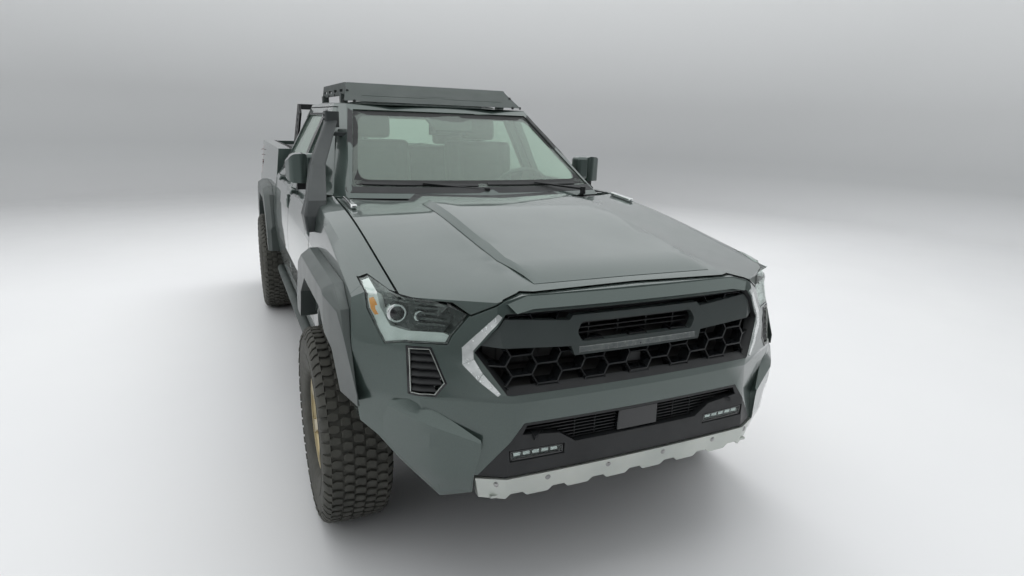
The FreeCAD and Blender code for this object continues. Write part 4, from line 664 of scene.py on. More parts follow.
def make_headlamps():
    """Clear smoked lens over a dark shell that holds projectors, fins, a light band and an amber corner."""
    skin = surface_of("headlamps")
    lens = laid(skin, LAMP_OUTLINE, "front", 0.0, 0.003, 0.02)
    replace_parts(twins("headlamp_lenses", smoked_lens, "lamp_lens", lens), "headlamps")
    shell = laid(skin, shrunk(LAMP_OUTLINE, 0.001), "front", -0.062, 0.004)
    join(shell, laid_band(skin, LAMP_OUTLINE, "front", -0.0035, 0.060, 0.004))
    twins("headlamp_shells", lamp_dark, "black_trim", shell)
    band = laid(skin, LAMP_BAND, "front", -0.012, 0.030, 0.015)
    twins("headlamp_light_bands", drl_band, "lamp_lens", band, bevel=0.004)
    marker = laid(skin, LAMP_AMBER, "front", -0.006, 0.020, 0.01)
    twins("headlamp_markers", amber, "lamp_lens", marker, bevel=0.002)
    rows = [(0.668 + 0.004 * step, 1.048 + 0.017 * step) for step in range(4)]
    fins = plates(skin, [oblong(x, 0.752, z, z + 0.007) for x, z in rows], "front", -0.024, 0.036, 0.02)
    join(fins, laid(skin, LAMP_TOP_FIN, "front", -0.012, 0.045))
    twins("headlamp_fins", lamp_dark, "black_trim", fins, bevel=0.0012)
    bezel = disc_on(skin, PROJECTOR, "front", -0.020, 0.033, 0.035)
    join(bezel, disc_on(skin, SMALL_PROJECTOR, "front", -0.030, 0.020, 0.025))
    twins("headlamp_bezels", lamp_silver, "bare_aluminium", bezel, bevel=0.003)
    ball = disc_on(skin, PROJECTOR, "front", -0.017, 0.024, 0.02, dome=0.006)
    join(ball, disc_on(skin, SMALL_PROJECTOR, "front", -0.027, 0.014, 0.02, dome=0.004))
    twins("headlamp_projectors", gloss_black, "lamp_lens", ball)


# Level of the vent's outer corner, and how its outline recedes from there below and above.
VENT_CORNER, VENT_SLOPE_BELOW, VENT_SLOPE_ABOVE = 0.874, 0.75, 0.33
LOUVRE_TILT = 1.3


def make_corner_vents():
    """Framed vent below each lamp with six sloping louvres."""
    skin = surface_of("corner_vents")
    band = laid_band(skin, VENT_OUTLINE, "front", 0.002, 0.050, 0.006)
    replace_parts(twins("corner_vent_frames", gloss_black, "black_trim", band, bevel=0.0015), "corner_vents")
    floor = laid(skin, shrunk(VENT_OUTLINE, 0.004), "front", -0.045, 0.004, 0.05)
    twins("corner_vent_floors", chassis_black, "black_trim", floor)
    slats = bmesh.new()
    for step in range(6):
        low = 0.844 + 0.0245 * step
        end = 0.688 + max(VENT_SLOPE_BELOW * (VENT_CORNER - low), VENT_SLOPE_ABOVE * (low - VENT_CORNER))
        outline = [(end, low), (0.787, low), (0.787, low + 0.016), (end + 0.004, low + 0.016)]
        join(slats, laid(skin, outline, "front", lambda a, b: -0.004 - (b - low) * LOUVRE_TILT, 0.010))
    twins("corner_vent_louvres", black_trim, "black_trim", slats, bevel=0.0015)
    edge = laid_band(skin, shrunk(VENT_OUTLINE, 0.0062), "front", 0.0015, 0.006, 0.0022)
    twins("corner_vent_edges", aluminium, "bare_aluminium", edge)


CELL_POINT, CELL_FLAT, CELL_HALF_HIGH, CELL_WEB = 0.0540, 0.0360, 0.0325, 0.0026
CELL_LEVEL = 0.900
# A cell's rings: webs taken off its points, its flats and its half height, and the depth of the ring.
CELL_RINGS = ((0, 0, 0, 0.019), (0, 0, 0, 0.066), (2.6, 2.0, 2.6, 0.066), (1, 0.7, 1, 0.019))
# Where the painted nose is sounded beside, below and above the grille opening.
NOSE_HALF, NOSE_LOW, NOSE_HIGH = 0.585, 0.836, 1.118


def nose_depth(skin, x, z):
    """How far forward the painted nose would be at a place inside the grille opening."""
    reach = max(-NOSE_HALF, min(NOSE_HALF, x))
    low, high = (met(skin, "front", reach, level).y for level in (NOSE_LOW, NOSE_HIGH))
    return low + (high - low) * (z - NOSE_LOW) / (NOSE_HIGH - NOSE_LOW)


def honeycomb_cell(skin, x, z):
    """Six-sided tube with thin walls that tapers towards its back."""
    rings = []
    for *webs, back in CELL_RINGS:
        sizes = (CELL_POINT, CELL_FLAT, CELL_HALF_HIGH)
        point, flat, half = (size - web * CELL_WEB for size, web in zip(sizes, webs))
        corners = ((-point, 0), (-flat, half), (flat, half), (point, 0), (flat, -half), (-flat, -half))
        rings.append([(x + a, nose_depth(skin, x + a, z + b) + back, z + b) for a, b in corners])
    bm = bmesh.new()
    bridged(bm, rings, closed=True)
    return outwards(bm)


def make_honeycomb(skin):
    """Staggered columns of cells, cut to the opening, before a dark panel."""
    comb = bmesh.new()
    for column in range(-6, 7):
        for row in range(-1, 4):
            z = CELL_LEVEL + (column % 2 + 2 * row) * CELL_HALF_HIGH
            behind_bar = abs(column) < 4 and z > 0.97
            if 0.82 < z < 1.10 and not behind_bar:
                join(comb, honeycomb_cell(skin, column * (CELL_POINT + CELL_FLAT), z))
    for (x0, z0), (x1, z1) in sides_of(shrunk(GRILLE_OUTLINE, 0.012)):
        out = Vector((z1 - z0, 0, x0 - x1))
        if out.dot(Vector((x0, 0, z0 - 0.98))) < 0:
            out.negate()
        cut(comb, (x0, 0, z0), out, clear_outer=True)
    cells = fixed("grille_honeycomb", gloss_black, "black_trim", comb, smooth=20, bevel=0.0008, segments=1)
    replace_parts(cells, "grille_mesh")
    back = moved(reveal(skin, GRILLE_OUTLINE, 0.06, 0.075, 0.003), (0, 0.040, 0))
    fixed("grille_back_frame", chassis_black, "black_trim", back)
    panel = bmesh.new()
    for step in range(-11, 11):
        x0, x1 = step * 0.05, step * 0.05 + 0.05
        y = nose_depth(skin, min(abs(x0), abs(x1)), 0.98) + 0.105
        join(panel, slab(x0, x1, y, y + 0.003, 0.855, 1.10))
    fixed("radiator_screen", chassis_black, "black_trim", panel)


def make_grille():
    """Bright corner strips, dark sloping surround, slats behind the bar's slot, light bar and camera."""
    skin = surface_of("front_bumper")
    outlines = [(*outer, *reversed(inner)) for outer, inner in
                zip(zip(STRIP_OUTER, STRIP_OUTER[1:]), zip(STRIP_INNER, STRIP_INNER[1:]))]
    strips = plates(skin, outlines, "front", 0.005, 0.012, 0.02)
    twins("corner_strips", strip_silver, "bare_aluminium", strips, bevel=0.002)
    surround = reveal(skin, GRILLE_OUTLINE, 0.020, 0.034, 0.004)
    fixed("grille_surround", black_trim, "black_trim", surround, bevel=0.0015)
    bar = surface_of("grille_bar")
    light = laid(bar, oblong(-0.246, 0.246, 0.958, 0.979), "front", 0.003, 0.012)
    fixed("light_bar", light_bar_white, "lamp_lens", light, bevel=0.003)
    slats = bmesh.new()
    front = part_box("grille_bar")[0].y
    for z in (1.008, 1.026, 1.044):
        join(slats, slab(-0.246, 0.246, front + 0.052, front + 0.084, z, z + 0.004))
    for x in (-0.18, -0.06, 0.06, 0.18):
        join(slats, slab(x - 0.003, x + 0.003, front + 0.060, front + 0.084, 0.993, 1.057))
    fixed("bar_slot_slats", black_trim, "black_trim", slats, bevel=0.001)
    make_honeycomb(surface_of("front_bumper", "headlamps", "hood", "corner_vents", "front_wings"))
    case = [(-0.032, 0.885), (0.032, 0.885), (0.028, 0.922), (-0.028, 0.922)]
    camera = laid(bar, case, "front", -0.002, 0.03)
    join(camera, disc_on(bar, (0.0, 0.965), "front", 0.004, 0.004, 0.006, 12))
    fixed("nose_camera", black_trim, "black_trim", camera, bevel=0.003)


# Fins across the lower air slot: level and reach to each side.
SLOT_ROWS = ((0.727, 0.446), (0.715, 0.452), (0.703, 0.420), (0.691, 0.318), (0.679, 0.300), (0.667, 0.282),
             (0.656, 0.264))


def make_lower_intake():
    """Fins in the lower air slot, the plain block in its middle and the slotted fog lamps."""
    skin = surface_of("lower_grille")
    rows = [oblong(*sorted((side * 0.088, side * reach)), z - 0.0016, z + 0.0016)
            for z, reach in SLOT_ROWS for side in (LEFT, RIGHT)]
    posts = [oblong(x - 0.002, x + 0.002, 0.655, 0.732) for x in (0.17, -0.17, 0.25, -0.25)]
    fins = plates(skin, rows, "front", 0.016, 0.015, 0.05)
    join(fins, plates(skin, posts, "front", 0.012, 0.011, 0.05))
    fixed("intake_fins", black_trim, "black_trim", fins)
    middle = [(-0.087, 0.653), (0.087, 0.653), (0.083, 0.734), (-0.083, 0.734)]
    fixed("intake_block", gloss_black, "black_trim", laid(skin, middle, "front", 0.030, 0.029), bevel=0.004)
    rim = [(0.303, 0.614), (0.497, 0.614), (0.501, 0.652), (0.303, 0.648)]
    pods = laid_band(skin, rim, "front", 0.012, 0.011, 0.007)
    twins("fog_lamp_frames", gloss_black, "black_trim", pods, bevel=0.002)
    starts = [0.322 + 0.034 * step for step in range(5)]
    cells = plates(skin, [oblong(x, x + 0.026, 0.626, 0.640) for x in starts], "front", 0.004, 0.003, 0.02)
    twins("fog_lamp_cells", lamp_silver, "bare_aluminium", cells, bevel=0.001)
    lens = laid(skin, [(0.309, 0.619), (0.491, 0.619), (0.495, 0.646), (0.309, 0.643)], "front", 0.010, 0.002)
    twins("fog_lamp_lenses", smoked_lens, "lamp_lens", lens)


CORNER_OUTLINE = [(0.846, 0.797), (0.792, 0.812), (0.702, 0.774), (0.594, 0.698), (0.594, 0.660),
                  (0.612, 0.560), (0.618, 0.500), (0.704, 0.482), (0.812, 0.592), (0.862, 0.662),
                  (0.862, 0.740)]
CORNER_CREASE = ((0.592, 0.688), (0.850, 0.784))
CREASE_FULLNESS, FALL_ABOVE, FALL_BELOW = 0.032, 0.85, 0.14


def corner_fullness(x, z):
    """How far the corner panel stands off the bumper: most along its crease, less above and below it."""
    (x0, z0), (x1, z1) = CORNER_CREASE
    above = z - z0 - (abs(x) - x0) * (z1 - z0) / (x1 - x0)
    return max(0.001, CREASE_FULLNESS - max(FALL_ABOVE * above, -FALL_BELOW * above))


PLATEAU_HALF, PLATEAU_FRONT, PLATEAU_REAR = 0.440, -2.560, -1.500
PLATEAU_TAPER = 0.045
PLATEAU_HEIGHT = 0.013
HOOD_PLATEAU = [(-0.440, -1.500), (-0.408, -2.330), (-0.372, -2.560), (0.372, -2.560), (0.408, -2.330),
                (0.440, -1.500)]
HOOD_BAR = [(0.742, -1.500), (0.772, -1.500), (0.776, -1.290), (0.748, -1.290)]


def plateau_height(x, y):
    """Height of the hood's middle panel, which slopes off at its sides, its nose and its rear."""
    from_side = PLATEAU_HALF - PLATEAU_TAPER * max(0.0, PLATEAU_REAR - y) - abs(x)
    slopes = (from_side / 0.026, (y - PLATEAU_FRONT) / 0.10, (PLATEAU_REAR - y) / 0.03)
    return 0.0008 + PLATEAU_HEIGHT * math.prod(min(1.0, max(0.0, share)) for share in slopes)


BROW_OUTLINE = [(-0.500, 1.140), (-0.430, 1.158), (0.430, 1.158), (0.500, 1.140), (0.476, 1.112),
                (0.416, 1.122), (-0.416, 1.122), (-0.476, 1.112)]
BROW_TOP, BROW_SLOPE = 1.158, 0.45


def brow_height(x, z):
    """How far the strip over the grille surround stands off it, growing downwards."""
    return 0.0008 + BROW_SLOPE * max(0.0, BROW_TOP - z)


def make_nose_panels():
    """Fuller bumper corners with a ledge, the hood's raised middle and bright bars, and the strip over the
    grille surround."""
    skin = surface_of("front_bumper")
    corner = laid(skin, CORNER_OUTLINE, "front", corner_fullness, 0.030, creases=[CORNER_CREASE])
    twins("bumper_corners", paint, "body_paint", corner, smooth=18)
    hood = surface_of("hood")
    bends = sides_of(shrunk(HOOD_PLATEAU, 0.026))
    panel = laid(hood, HOOD_PLATEAU, "top", plateau_height, 0.004, 0.06, creases=bends)
    piece("hood_plateau", "hood", paint, "body_paint", panel, smooth=14)
    bars = with_other_side(laid(hood, rounded(HOOD_BAR, 0.012), "top", 0.022, 0.021))
    piece("hood_trim_bars", "hood", chrome, "bare_aluminium", bars, bevel=0.008, segments=4)
    brow = laid(skin, BROW_OUTLINE, "front", brow_height, 0.003, 0.05)
    fixed("surround_brow", paint, "body_paint", brow, smooth=20)


def make_skid_bolts():
    """Round-headed bolts along the skid plate's front."""
    skin = surface_of("skid_plate")
    bolts = bmesh.new()
    for x in (0.12, 0.36, 0.54):
        join(bolts, disc_on(skin, (x, 0.536), "front", 0.0, 0.011, 0.004, 14, 0.002))
    twins("skid_bolts", steel, "bare_steel", bolts)


# ---------------------------------------------------------------- cab and bed details

WINDOWS = {"front": [(-0.928, 1.337), (-0.370, 1.702), (-0.198, 1.702), (-0.186, 1.337)],
           "rear": [(-0.096, 1.337), (-0.084, 1.702), (0.582, 1.702), (0.698, 1.445), (0.698, 1.337)]}
PILLAR_BANDS = {"front": oblong(-0.178, -0.150, 1.345, 1.735),
                "rear": [(-0.132, 1.345), (-0.104, 1.345), (-0.098, 1.735), (-0.132, 1.735)]}
BELT_STRIPS = {"front": oblong(-0.975, -0.150, 1.316, 1.331), "rear": oblong(-0.132, 0.742, 1.316, 1.331)}
HANDLES = {"front": (-0.490, 1.246), "rear": (0.285, 1.256)}


def make_doors():
    """Window seals, belt strips, pillar bands, pull handles and a painted shadow round each handle, each
    riding on its own door.
    """
    for which in ("left", "right"):
        for end in ("front", "rear"):
            name = f"{end}_{which}_door"
            skin = surface_of(name)
            seal = laid_band(skin, shrunk(WINDOWS[end], -0.0135), which, 0.0012, 0.004, 0.0115, 0.05)
            join(seal, laid(skin, BELT_STRIPS[end], which, 0.004, 0.006, 0.08))
            piece(name + "_seals", name, seal_black, "black_trim", seal)
            band = laid(skin, PILLAR_BANDS[end], which, 0.0015, 0.003, 0.08)
            piece(name + "_pillar_band", name, gloss_black, "black_trim", band)
            y, z = HANDLES[end]
            bow = [(y, z), (y + 0.205, z + 0.003), (y + 0.205, z + 0.033), (y, z + 0.030)]
            grip = laid(skin, rounded(bow, 0.013), which, 0.046, 0.018)
            feet = [oblong(y + at, y + at + 0.024, z + 0.004, z + 0.028) for at in (0.012, 0.170)]
            join(grip, plates(skin, feet, which, 0.034, 0.036))
            piece(name + "_handle", name, paint, "body_paint", grip, bevel=0.005, segments=3)
            # Dark grey plate laid on the door round and under each handle: a painted shadow in the handle's
            # recess.
            handle_shadow_outline = [(y + 0.030, z - 0.022), (y + 0.175, z - 0.020), (y + 0.175, z + 0.042),
                   (y + 0.030, z + 0.040)]
            handle_shadow_plate = laid(skin, rounded(handle_shadow_outline, 0.028), which, 0.0008, 0.002)
            piece(name + "_handle_painted_shadow", name, grey_trim, "black_trim", handle_shadow_plate)


MIRROR_PANE = ((0.874, 1.368), (0.960, 1.374), (0.960, 1.482), (0.876, 1.480))


def make_mirrors():
    """The inner end of each mirror housing, and its glass in a thin black frame."""
    for side, which in SIDES:
        skin = surface_of(which + "_mirror")
        pane = rounded([(side * x, z) for x, z in MIRROR_PANE], 0.02)
        door = f"front_{which}_door"
        glass = laid(skin, pane, "rear", 0.001, 0.003, 0.04)
        piece(which + "_mirror_glass", door, mirror_glass, "bare_aluminium", glass)
        root = slab(0.800, 0.890, -0.824, -0.728, 1.350, 1.497)
        root = root if side == LEFT else mirrored(root)
        piece(which + "_mirror_root", door, paint, "body_paint", root, bevel=0.024, segments=4)
        rim = laid_band(skin, shrunk(pane, -0.006), "rear", 0.002, 0.004, 0.007, 0.05)
        piece(which + "_mirror_frame", door, black_trim, "black_trim", rim)


def bladed_wiper(skin, ends, pivot):
    """Blade lying on the glass and the arm that holds it."""
    (x0, z0), (x1, z1) = ends
    bm = laid(skin, [(x0, z0), (x1, z1), (x1, z1 + 0.010), (x0, z0 + 0.010)], "front", 0.016, 0.012, 0.05)
    held = met(skin, "front", (x0 + x1) / 2, (z0 + z1) / 2 + 0.006) + Vector((0, -0.022, 0.004))
    join(bm, tube(pivot, held, 0.007, 10, 0.005))
    join(bm, tube(Vector(pivot) + Vector((0, 0, -0.03)), Vector(pivot) + Vector((0, 0, 0.012)), 0.016, 14))
    return bm


SCREEN = [(0.690, 1.358), (0.560, 1.736), (-0.560, 1.736), (-0.690, 1.358)]
REAR_SCREEN = [(0.556, 1.379), (0.556, 1.724), (-0.556, 1.724), (-0.556, 1.379)]
SENSOR_COVER = [(-0.150, 1.716), (0.150, 1.716), (0.115, 1.640), (-0.115, 1.640)]


def make_screens():
    """Dark printed borders, the sensor cover and mirror behind the windscreen, and the wipers."""
    skin = surface_of("windscreen")
    outer, inner = rounded(shrunk(SCREEN, -0.030), 0.02), rounded(shrunk(SCREEN, -0.003), 0.01)
    shell = surface_of("cab_frame", "roof_panel")
    moulding = laid_ring(shell, outer, inner, "front", 0.0015, 0.001, 0.06, below=1.73)
    fixed("windscreen_moulding", black_trim, "black_trim", moulding)
    outer, inner = rounded(shrunk(SCREEN, 0.002), 0.01), rounded(shrunk(SCREEN, 0.026), 0.055)
    border = laid_ring(skin, outer, inner, "front", 0.0006, 0.0004, 0.06)
    join(border, laid(skin, SENSOR_COVER, "front", -0.0070, 0.016, 0.06))
    fixed("windscreen_border", seal_black, "black_trim", border)
    outer, inner = rounded(REAR_SCREEN, 0.01), rounded(shrunk(REAR_SCREEN, 0.030), 0.05)
    border = laid_ring(surface_of("rear_window"), outer, inner, "rear", 0.0006, 0.001, 0.06)
    fixed("rear_window_border", seal_black, "black_trim", border)
    wipers = bladed_wiper(skin, ((-0.640, 1.366), (-0.040, 1.360)), (0.00, -1.238, 1.340))
    join(wipers, bladed_wiper(skin, ((0.020, 1.366), (0.600, 1.361)), (0.60, -1.232, 1.340)))
    fixed("windscreen_wipers", black_trim, "black_trim", wipers)
    mirror = slab(-0.120, 0.120, -0.575, -0.563, 1.605, 1.668)
    join(mirror, slab(-0.012, 0.012, -0.590, -0.560, 1.660, 1.705))
    fixed("inside_mirror", gloss_black, "black_trim", mirror, bevel=0.008, segments=3)


PAD_STEP = 0.017
PAD_EASE = 0.036
SEAM_DEPTH = 0.011
SEAM_WIDTH = 0.009
BOLSTER_RISE = 0.020
# Depth of the piping round a pad's edge, its level and its width as shares of the half thickness.
PIPING_DEPTH, PIPING_LEVEL, PIPING_WIDTH = 0.004, 0.30, 0.14


def stuffed(middle, half, upright=False, lean=0.0, inset=0.0, channels=(), seams=(), crown=0.014):
    """A crowned pad with eased edges. Bolsters rise past inset on each side, and sewn channels across it
    and seams along it are pulled into its face. An upright pad faces forward and leans back."""
    bm = slab(-half[0], half[0], -half[1], half[1], -half[2], half[2])
    for axis, reach in enumerate(half):
        cuts = max(3, round(2 * reach / PAD_STEP))
        for k in range(1, cuts):
            place, normal = Vector((0, 0, 0)), Vector((0, 0, 0))
            place[axis] = -reach + 2 * reach * k / cuts
            normal[axis] = 1
            cut(bm, place, normal)
    for vert in bm.verts:
        u, v, w = vert.co
        inner = Vector([max(PAD_EASE - h, min(h - PAD_EASE, p)) for p, h in zip(vert.co, half)])
        point = inner + (vert.co - inner).normalized() * PAD_EASE
        swell = crown * (1 - (u / half[0]) ** 2) * (1 - (v / half[1]) ** 2)
        if inset and abs(u) > inset:
            swell += BOLSTER_RISE * math.sin(math.pi * (abs(u) - inset) / (half[0] - inset))
        lines = [abs(abs(u) - seam) for seam in seams]
        if not inset or abs(u) < inset:
            lines += [abs(v - channel) for channel in channels]
        sewn = max([math.exp(-(gap / SEAM_WIDTH) ** 2) for gap in lines], default=0.0)
        point.z += max(0.0, w / half[2]) * (swell - SEAM_DEPTH * sewn)
        piping = PIPING_DEPTH * math.exp(-((w / half[2] - PIPING_LEVEL) / PIPING_WIDTH) ** 2)
        point.x -= piping * u / half[0]
        point.y -= piping * v / half[1]
        if upright:
            back = lean * (point.y + half[1]) / (2 * half[1])
            point = Vector((point.x, back - point.z, point.y))
        vert.co = point + Vector(middle)
    return bm


# Seat rows: hip line, height and lean of the backs, half width, bolster line, seams along, seats across,
# head rests across.
SEAT_ROWS = (
    (-0.460, 0.610, 0.110, 0.245, 0.150, (0.150,), (-0.375, 0.375), (-0.375, 0.375)),
    (0.260, 0.550, 0.060, 0.645, 0.0, (0.215,), (0.0,), (-0.380, 0.380)),
)
SEAT_LEVEL = 0.950
BACK_SETBACK = 0.226
CUSHION_CHANNELS = (-0.13, -0.055, 0.02, 0.095)


def make_seats():
    """Two front seats and the rear bench, with their head rests, posts and stands."""
    pads, stands, posts = bmesh.new(), bmesh.new(), bmesh.new()
    for hip, tall, lean, wide, inset, seams, middles, heads in SEAT_ROWS:
        back, top = hip + BACK_SETBACK, SEAT_LEVEL + tall
        for x in middles:
            join(pads, stuffed((x, hip - 0.065, SEAT_LEVEL + 0.020), (wide, 0.232, 0.058), inset=inset,
                               channels=CUSHION_CHANNELS, seams=seams))
            rows = [tall * (k - 2.5) / 6.5 for k in range(6)]
            join(pads, stuffed((x, back, SEAT_LEVEL + tall / 2), (wide, tall / 2, 0.046), True, lean, inset,
                               rows, seams))
            join(stands, slab(x - wide * 0.82, x + wide * 0.82, hip - 0.220, hip + 0.140, 0.690, 0.925))
        for x in heads:
            head = (x, back + lean, top + 0.083)
            join(pads, stuffed(head, (0.122, 0.076, 0.044), True, 0.016, crown=0.008))
            for side in (-0.055, 0.055):
                foot = Vector((x + side, back + lean, top - 0.06))
                join(posts, tube(foot, foot + Vector((0, 0.004, 0.10)), 0.0055, 12))
    cushions = fixed("seat_cushions", cloth, "seat_cloth", pads, smooth=60)
    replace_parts(cushions, "seats")
    fixed("seat_stands", cabin, "cabin_trim", stands, bevel=0.012, segments=3)
    fixed("head_rest_posts", chrome, "bare_steel", posts)


def make_roof_gear():
    """Bolts and step line of the wind deflector, and bolts along the rack's sides."""
    skin = surface_of("roof_rack")
    spots = []
    for side, which in SIDES:
        spots += [((side * x, z), "front") for x, z in ((0.550, 1.852), (0.528, 1.908))]
        spots += [((y, 1.835), which) for y in (-0.30, -0.05, 0.20, 0.45, 0.70)]
    bolts = bmesh.new()
    for place, view in spots:
        join(bolts, disc_on(skin, place, view, 0.004, 0.009, 0.006, 12, 0.002))
    line = [(-0.470, 1.826), (0.470, 1.826), (0.455, 1.840), (-0.455, 1.840)]
    fixed("deflector_step", rack_grey, "grey_trim", laid(skin, line, "front", 0.0025, 0.002, 0.08))
    fixed("rack_bolts", black_trim, "black_trim", bolts)


def make_rear():
    """Reversing lamps and ribs of the tail lamps, the tailgate's lever and camera, and the step pads."""
    lamps = surface_of("tail_lamps")
    clear = laid(lamps, oblong(0.822, 0.912, 1.196, 1.236), "rear", 0.0015, 0.004)
    twins("reversing_lamps", lamp_silver, "lamp_lens", clear, bevel=0.001)
    levels = (1.150, 1.184, 1.244, 1.296, 1.348)
    ribs = plates(lamps, [oblong(0.822, 0.914, z, z + 0.004) for z in levels], "rear", 0.002, 0.004, 0.04)
    twins("tail_lamp_ribs", gloss_black, "black_trim", ribs)
    gate = surface_of("tailgate")
    lever = laid(gate, rounded(oblong(-0.105, 0.105, 1.296, 1.338), 0.016), "rear", 0.010, 0.009, 0.05)
    join(lever, disc_on(gate, (0.0, 1.282), "rear", 0.006, 0.010, 0.010, 16, 0.002))
    piece("tailgate_lever", "tailgate", black_trim, "black_trim", lever, bevel=0.003)
    starts = [(0.40 + 0.042 * column, 2.606 + 0.028 * row) for column in range(9) for row in range(3)]
    outlines = [oblong(x, x + 0.030, y, y + 0.018) for x, y in starts]
    pads = plates(surface_of("rear_bumper"), outlines, "top", 0.0025, 0.003, 0.05)
    twins("bumper_step_pads", rubber, "black_trim", pads)


def coil(x, y, low, high, radius, wire, turns):
    """Round-wire spring that climbs from low to high."""
    bm = bmesh.new()
    place = Matrix.Translation((x + radius, y, low)) @ Matrix.Rotation(math.pi / 2, 4, "X")
    ring = bmesh.ops.create_circle(bm, segments=8, radius=wire, matrix=place)
    steps = turns * 16
    bmesh.ops.spin(bm, geom=ring["verts"] + bm.edges[:], cent=(x, y, low), axis=(0, 0, 1),
                   angle=2 * math.pi * turns, dvec=(0, 0, (high - low) / steps), steps=steps)
    bmesh.ops.holes_fill(bm, edges=[e for e in bm.edges if e.is_boundary], sides=0)
    return outwards(bm)


def make_underside():
    """Coil springs on the front struts and clamps on the rear leaf springs."""
    springs = coil(0.560, -1.8, 0.400, 0.690, 0.064, 0.0075, 7)
    twins("front_coil_springs", cast_iron, "cast_metal", springs)
    clamps = bmesh.new()
    for y in (1.500, 1.585):
        for x in (0.425, 0.491):
            join(clamps, tube((x, y, 0.36), (x, y, 0.52), 0.007, 10))
    join(clamps, slab(0.412, 0.504, 1.480, 1.605, 0.352, 0.362))
    twins("rear_spring_clamps", steel, "bare_steel", clamps, bevel=0.001)


# ---------------------------------------------------------------- wheels

TREAD_PITCHES = 58
PITCH = 2 * math.pi / TREAD_PITCHES
# Tread rows: middle across the tyre, half width, half length, lean, radius of the block's face, and the row's
# shift as a share of a pitch.
TREAD_ROWS = (
    (0.0, 0.0195, 0.0180, 0.006, 0.4188, 0.0),
    (0.0425, 0.0185, 0.0175, 0.005, 0.4180, 0.5),
    (-0.0425, 0.0185, 0.0175, 0.005, 0.4180, 0.5),
    (0.0865, 0.0200, 0.0170, 0.004, 0.4150, 0.0),
    (-0.0865, 0.0200, 0.0170, 0.004, 0.4150, 0.0),
)
GROOVE_RADIUS = 0.407
BLOCK_TAPER = 0.62


def wheel_turned(bm, angle):
    """A mesh turned about the wheel's axle."""
    bmesh.ops.rotate(bm, cent=(0, 0, 0), matrix=Matrix.Rotation(angle, 3, "X"), verts=bm.verts)
    return bm


def tread_block(across, half_wide, half_long, lean, radius, shift):
    """One block: an uneven six-sided face stood out of the groove floor, its top edges broken."""
    end = half_long * BLOCK_TAPER
    corners = ((-half_wide, -end), (-lean, -half_long), (half_wide, -end), (half_wide, end),
               (lean, half_long), (-half_wide, end))
    bm = bmesh.new()
    face = bm.faces.new([bm.verts.new((across + x, y, GROOVE_RADIUS)) for x, y in corners])
    grown = bmesh.ops.extrude_face_region(bm, geom=[face])
    tops = [v for v in grown["geom"] if isinstance(v, bmesh.types.BMVert)]
    bmesh.ops.translate(bm, vec=(0, 0, radius - GROOVE_RADIUS), verts=tops)
    eased(bm, [e for e in bm.edges if all(v in tops for v in e.verts)], 0.0022, 1)
    return wheel_turned(outwards(bm), shift * PITCH)


def shoulder_lug(side, long):
    """Block that rounds the shoulder and runs down the sidewall."""
    outer = [(0.107, 0.4135), (0.121, 0.405), (0.1310, 0.386), (0.1345, 0.370 if long else 0.380)]
    half = 0.0165 if long else 0.0145
    bm = bmesh.new()
    for (x0, r0), (x1, r1) in zip(outer, outer[1:]):
        corners = ((x0, -half, r0), (x0, half, r0), (x1, half, r1), (x1, -half, r1))
        bm.faces.new([bm.verts.new(corner) for corner in corners])
    bmesh.ops.remove_doubles(bm, verts=bm.verts, dist=1e-5)
    outwards(bm)
    if sum(f.normal.z for f in bm.faces) < 0:
        bmesh.ops.reverse_faces(bm, faces=bm.faces)
    thickened(bm, 0.010)
    bmesh.ops.scale(bm, vec=(side, 1, 1), verts=bm.verts)
    return outwards(bm)


def around(bm, count, start=0.0):
    """Copies of a piece evenly round the wheel's axle."""
    whole = bmesh.new()
    for i in range(count):
        join(whole, wheel_turned(bm.copy(), start + 2 * math.pi * i / count))
    bm.free()
    return whole


def make_tyre_mesh():
    """All-terrain tyre: carcass with ribbed sidewalls, five rows of blocks and shoulder lugs."""
    half = [(0.100, 0.219), (0.112, 0.224), (0.121, 0.236), (0.127, 0.262), (0.1315, 0.290), (0.1330, 0.300),
            (0.1300, 0.304), (0.1312, 0.330), (0.1325, 0.336), (0.1315, 0.342), (0.1300, 0.366),
            (0.124, 0.388), (0.115, 0.400), (0.104, 0.4055), (0.0665, 0.4065), (0.0, 0.407)]
    inner = [(0.0, 0.392), (0.100, 0.386), (0.116, 0.340), (0.112, 0.260), (0.096, 0.222)]
    profile = [(-x, r) for x, r in half] + half[-2::-1] + inner[::-1] + [(-x, r) for x, r in inner[1:]]
    whole = turned(profile, 72)
    for row in TREAD_ROWS:
        join(whole, around(tread_block(*row), TREAD_PITCHES))
    for side in (LEFT, RIGHT):
        for long, shift in ((True, 0.5), (False, 1.5)):
            join(whole, around(shoulder_lug(side, long), TREAD_PITCHES // 2, shift * PITCH))
    return whole


# Rings of a spoke: reach from the axle, half width, place of its face and of its back along the axle.
SPOKE_RINGS = ((0.060, 0.030, 0.086, 0.056), (0.105, 0.024, 0.094, 0.060), (0.150, 0.027, 0.098, 0.066),
               (0.196, 0.036, 0.101, 0.078))
RIM_SPOKES = 6
RIM_PROFILE = [(-0.104, 0.226), (-0.098, 0.214), (-0.085, 0.2135), (-0.060, 0.196), (0.050, 0.196),
               (0.082, 0.2135), (0.098, 0.214), (0.104, 0.226), (0.100, 0.228), (0.094, 0.216),
               (0.090, 0.206), (0.070, 0.196), (0.055, 0.189), (-0.060, 0.189), (-0.094, 0.206),
               (-0.102, 0.2275)]
HUB_PROFILE = [(0.040, 0.0), (0.040, 0.088), (0.070, 0.088), (0.082, 0.076), (0.084, 0.042), (0.078, 0.036),
               (0.078, 0.0)]
CAP_PROFILE = [(0.076, 0.0), (0.076, 0.037), (0.096, 0.035), (0.101, 0.030), (0.104, 0.0)]
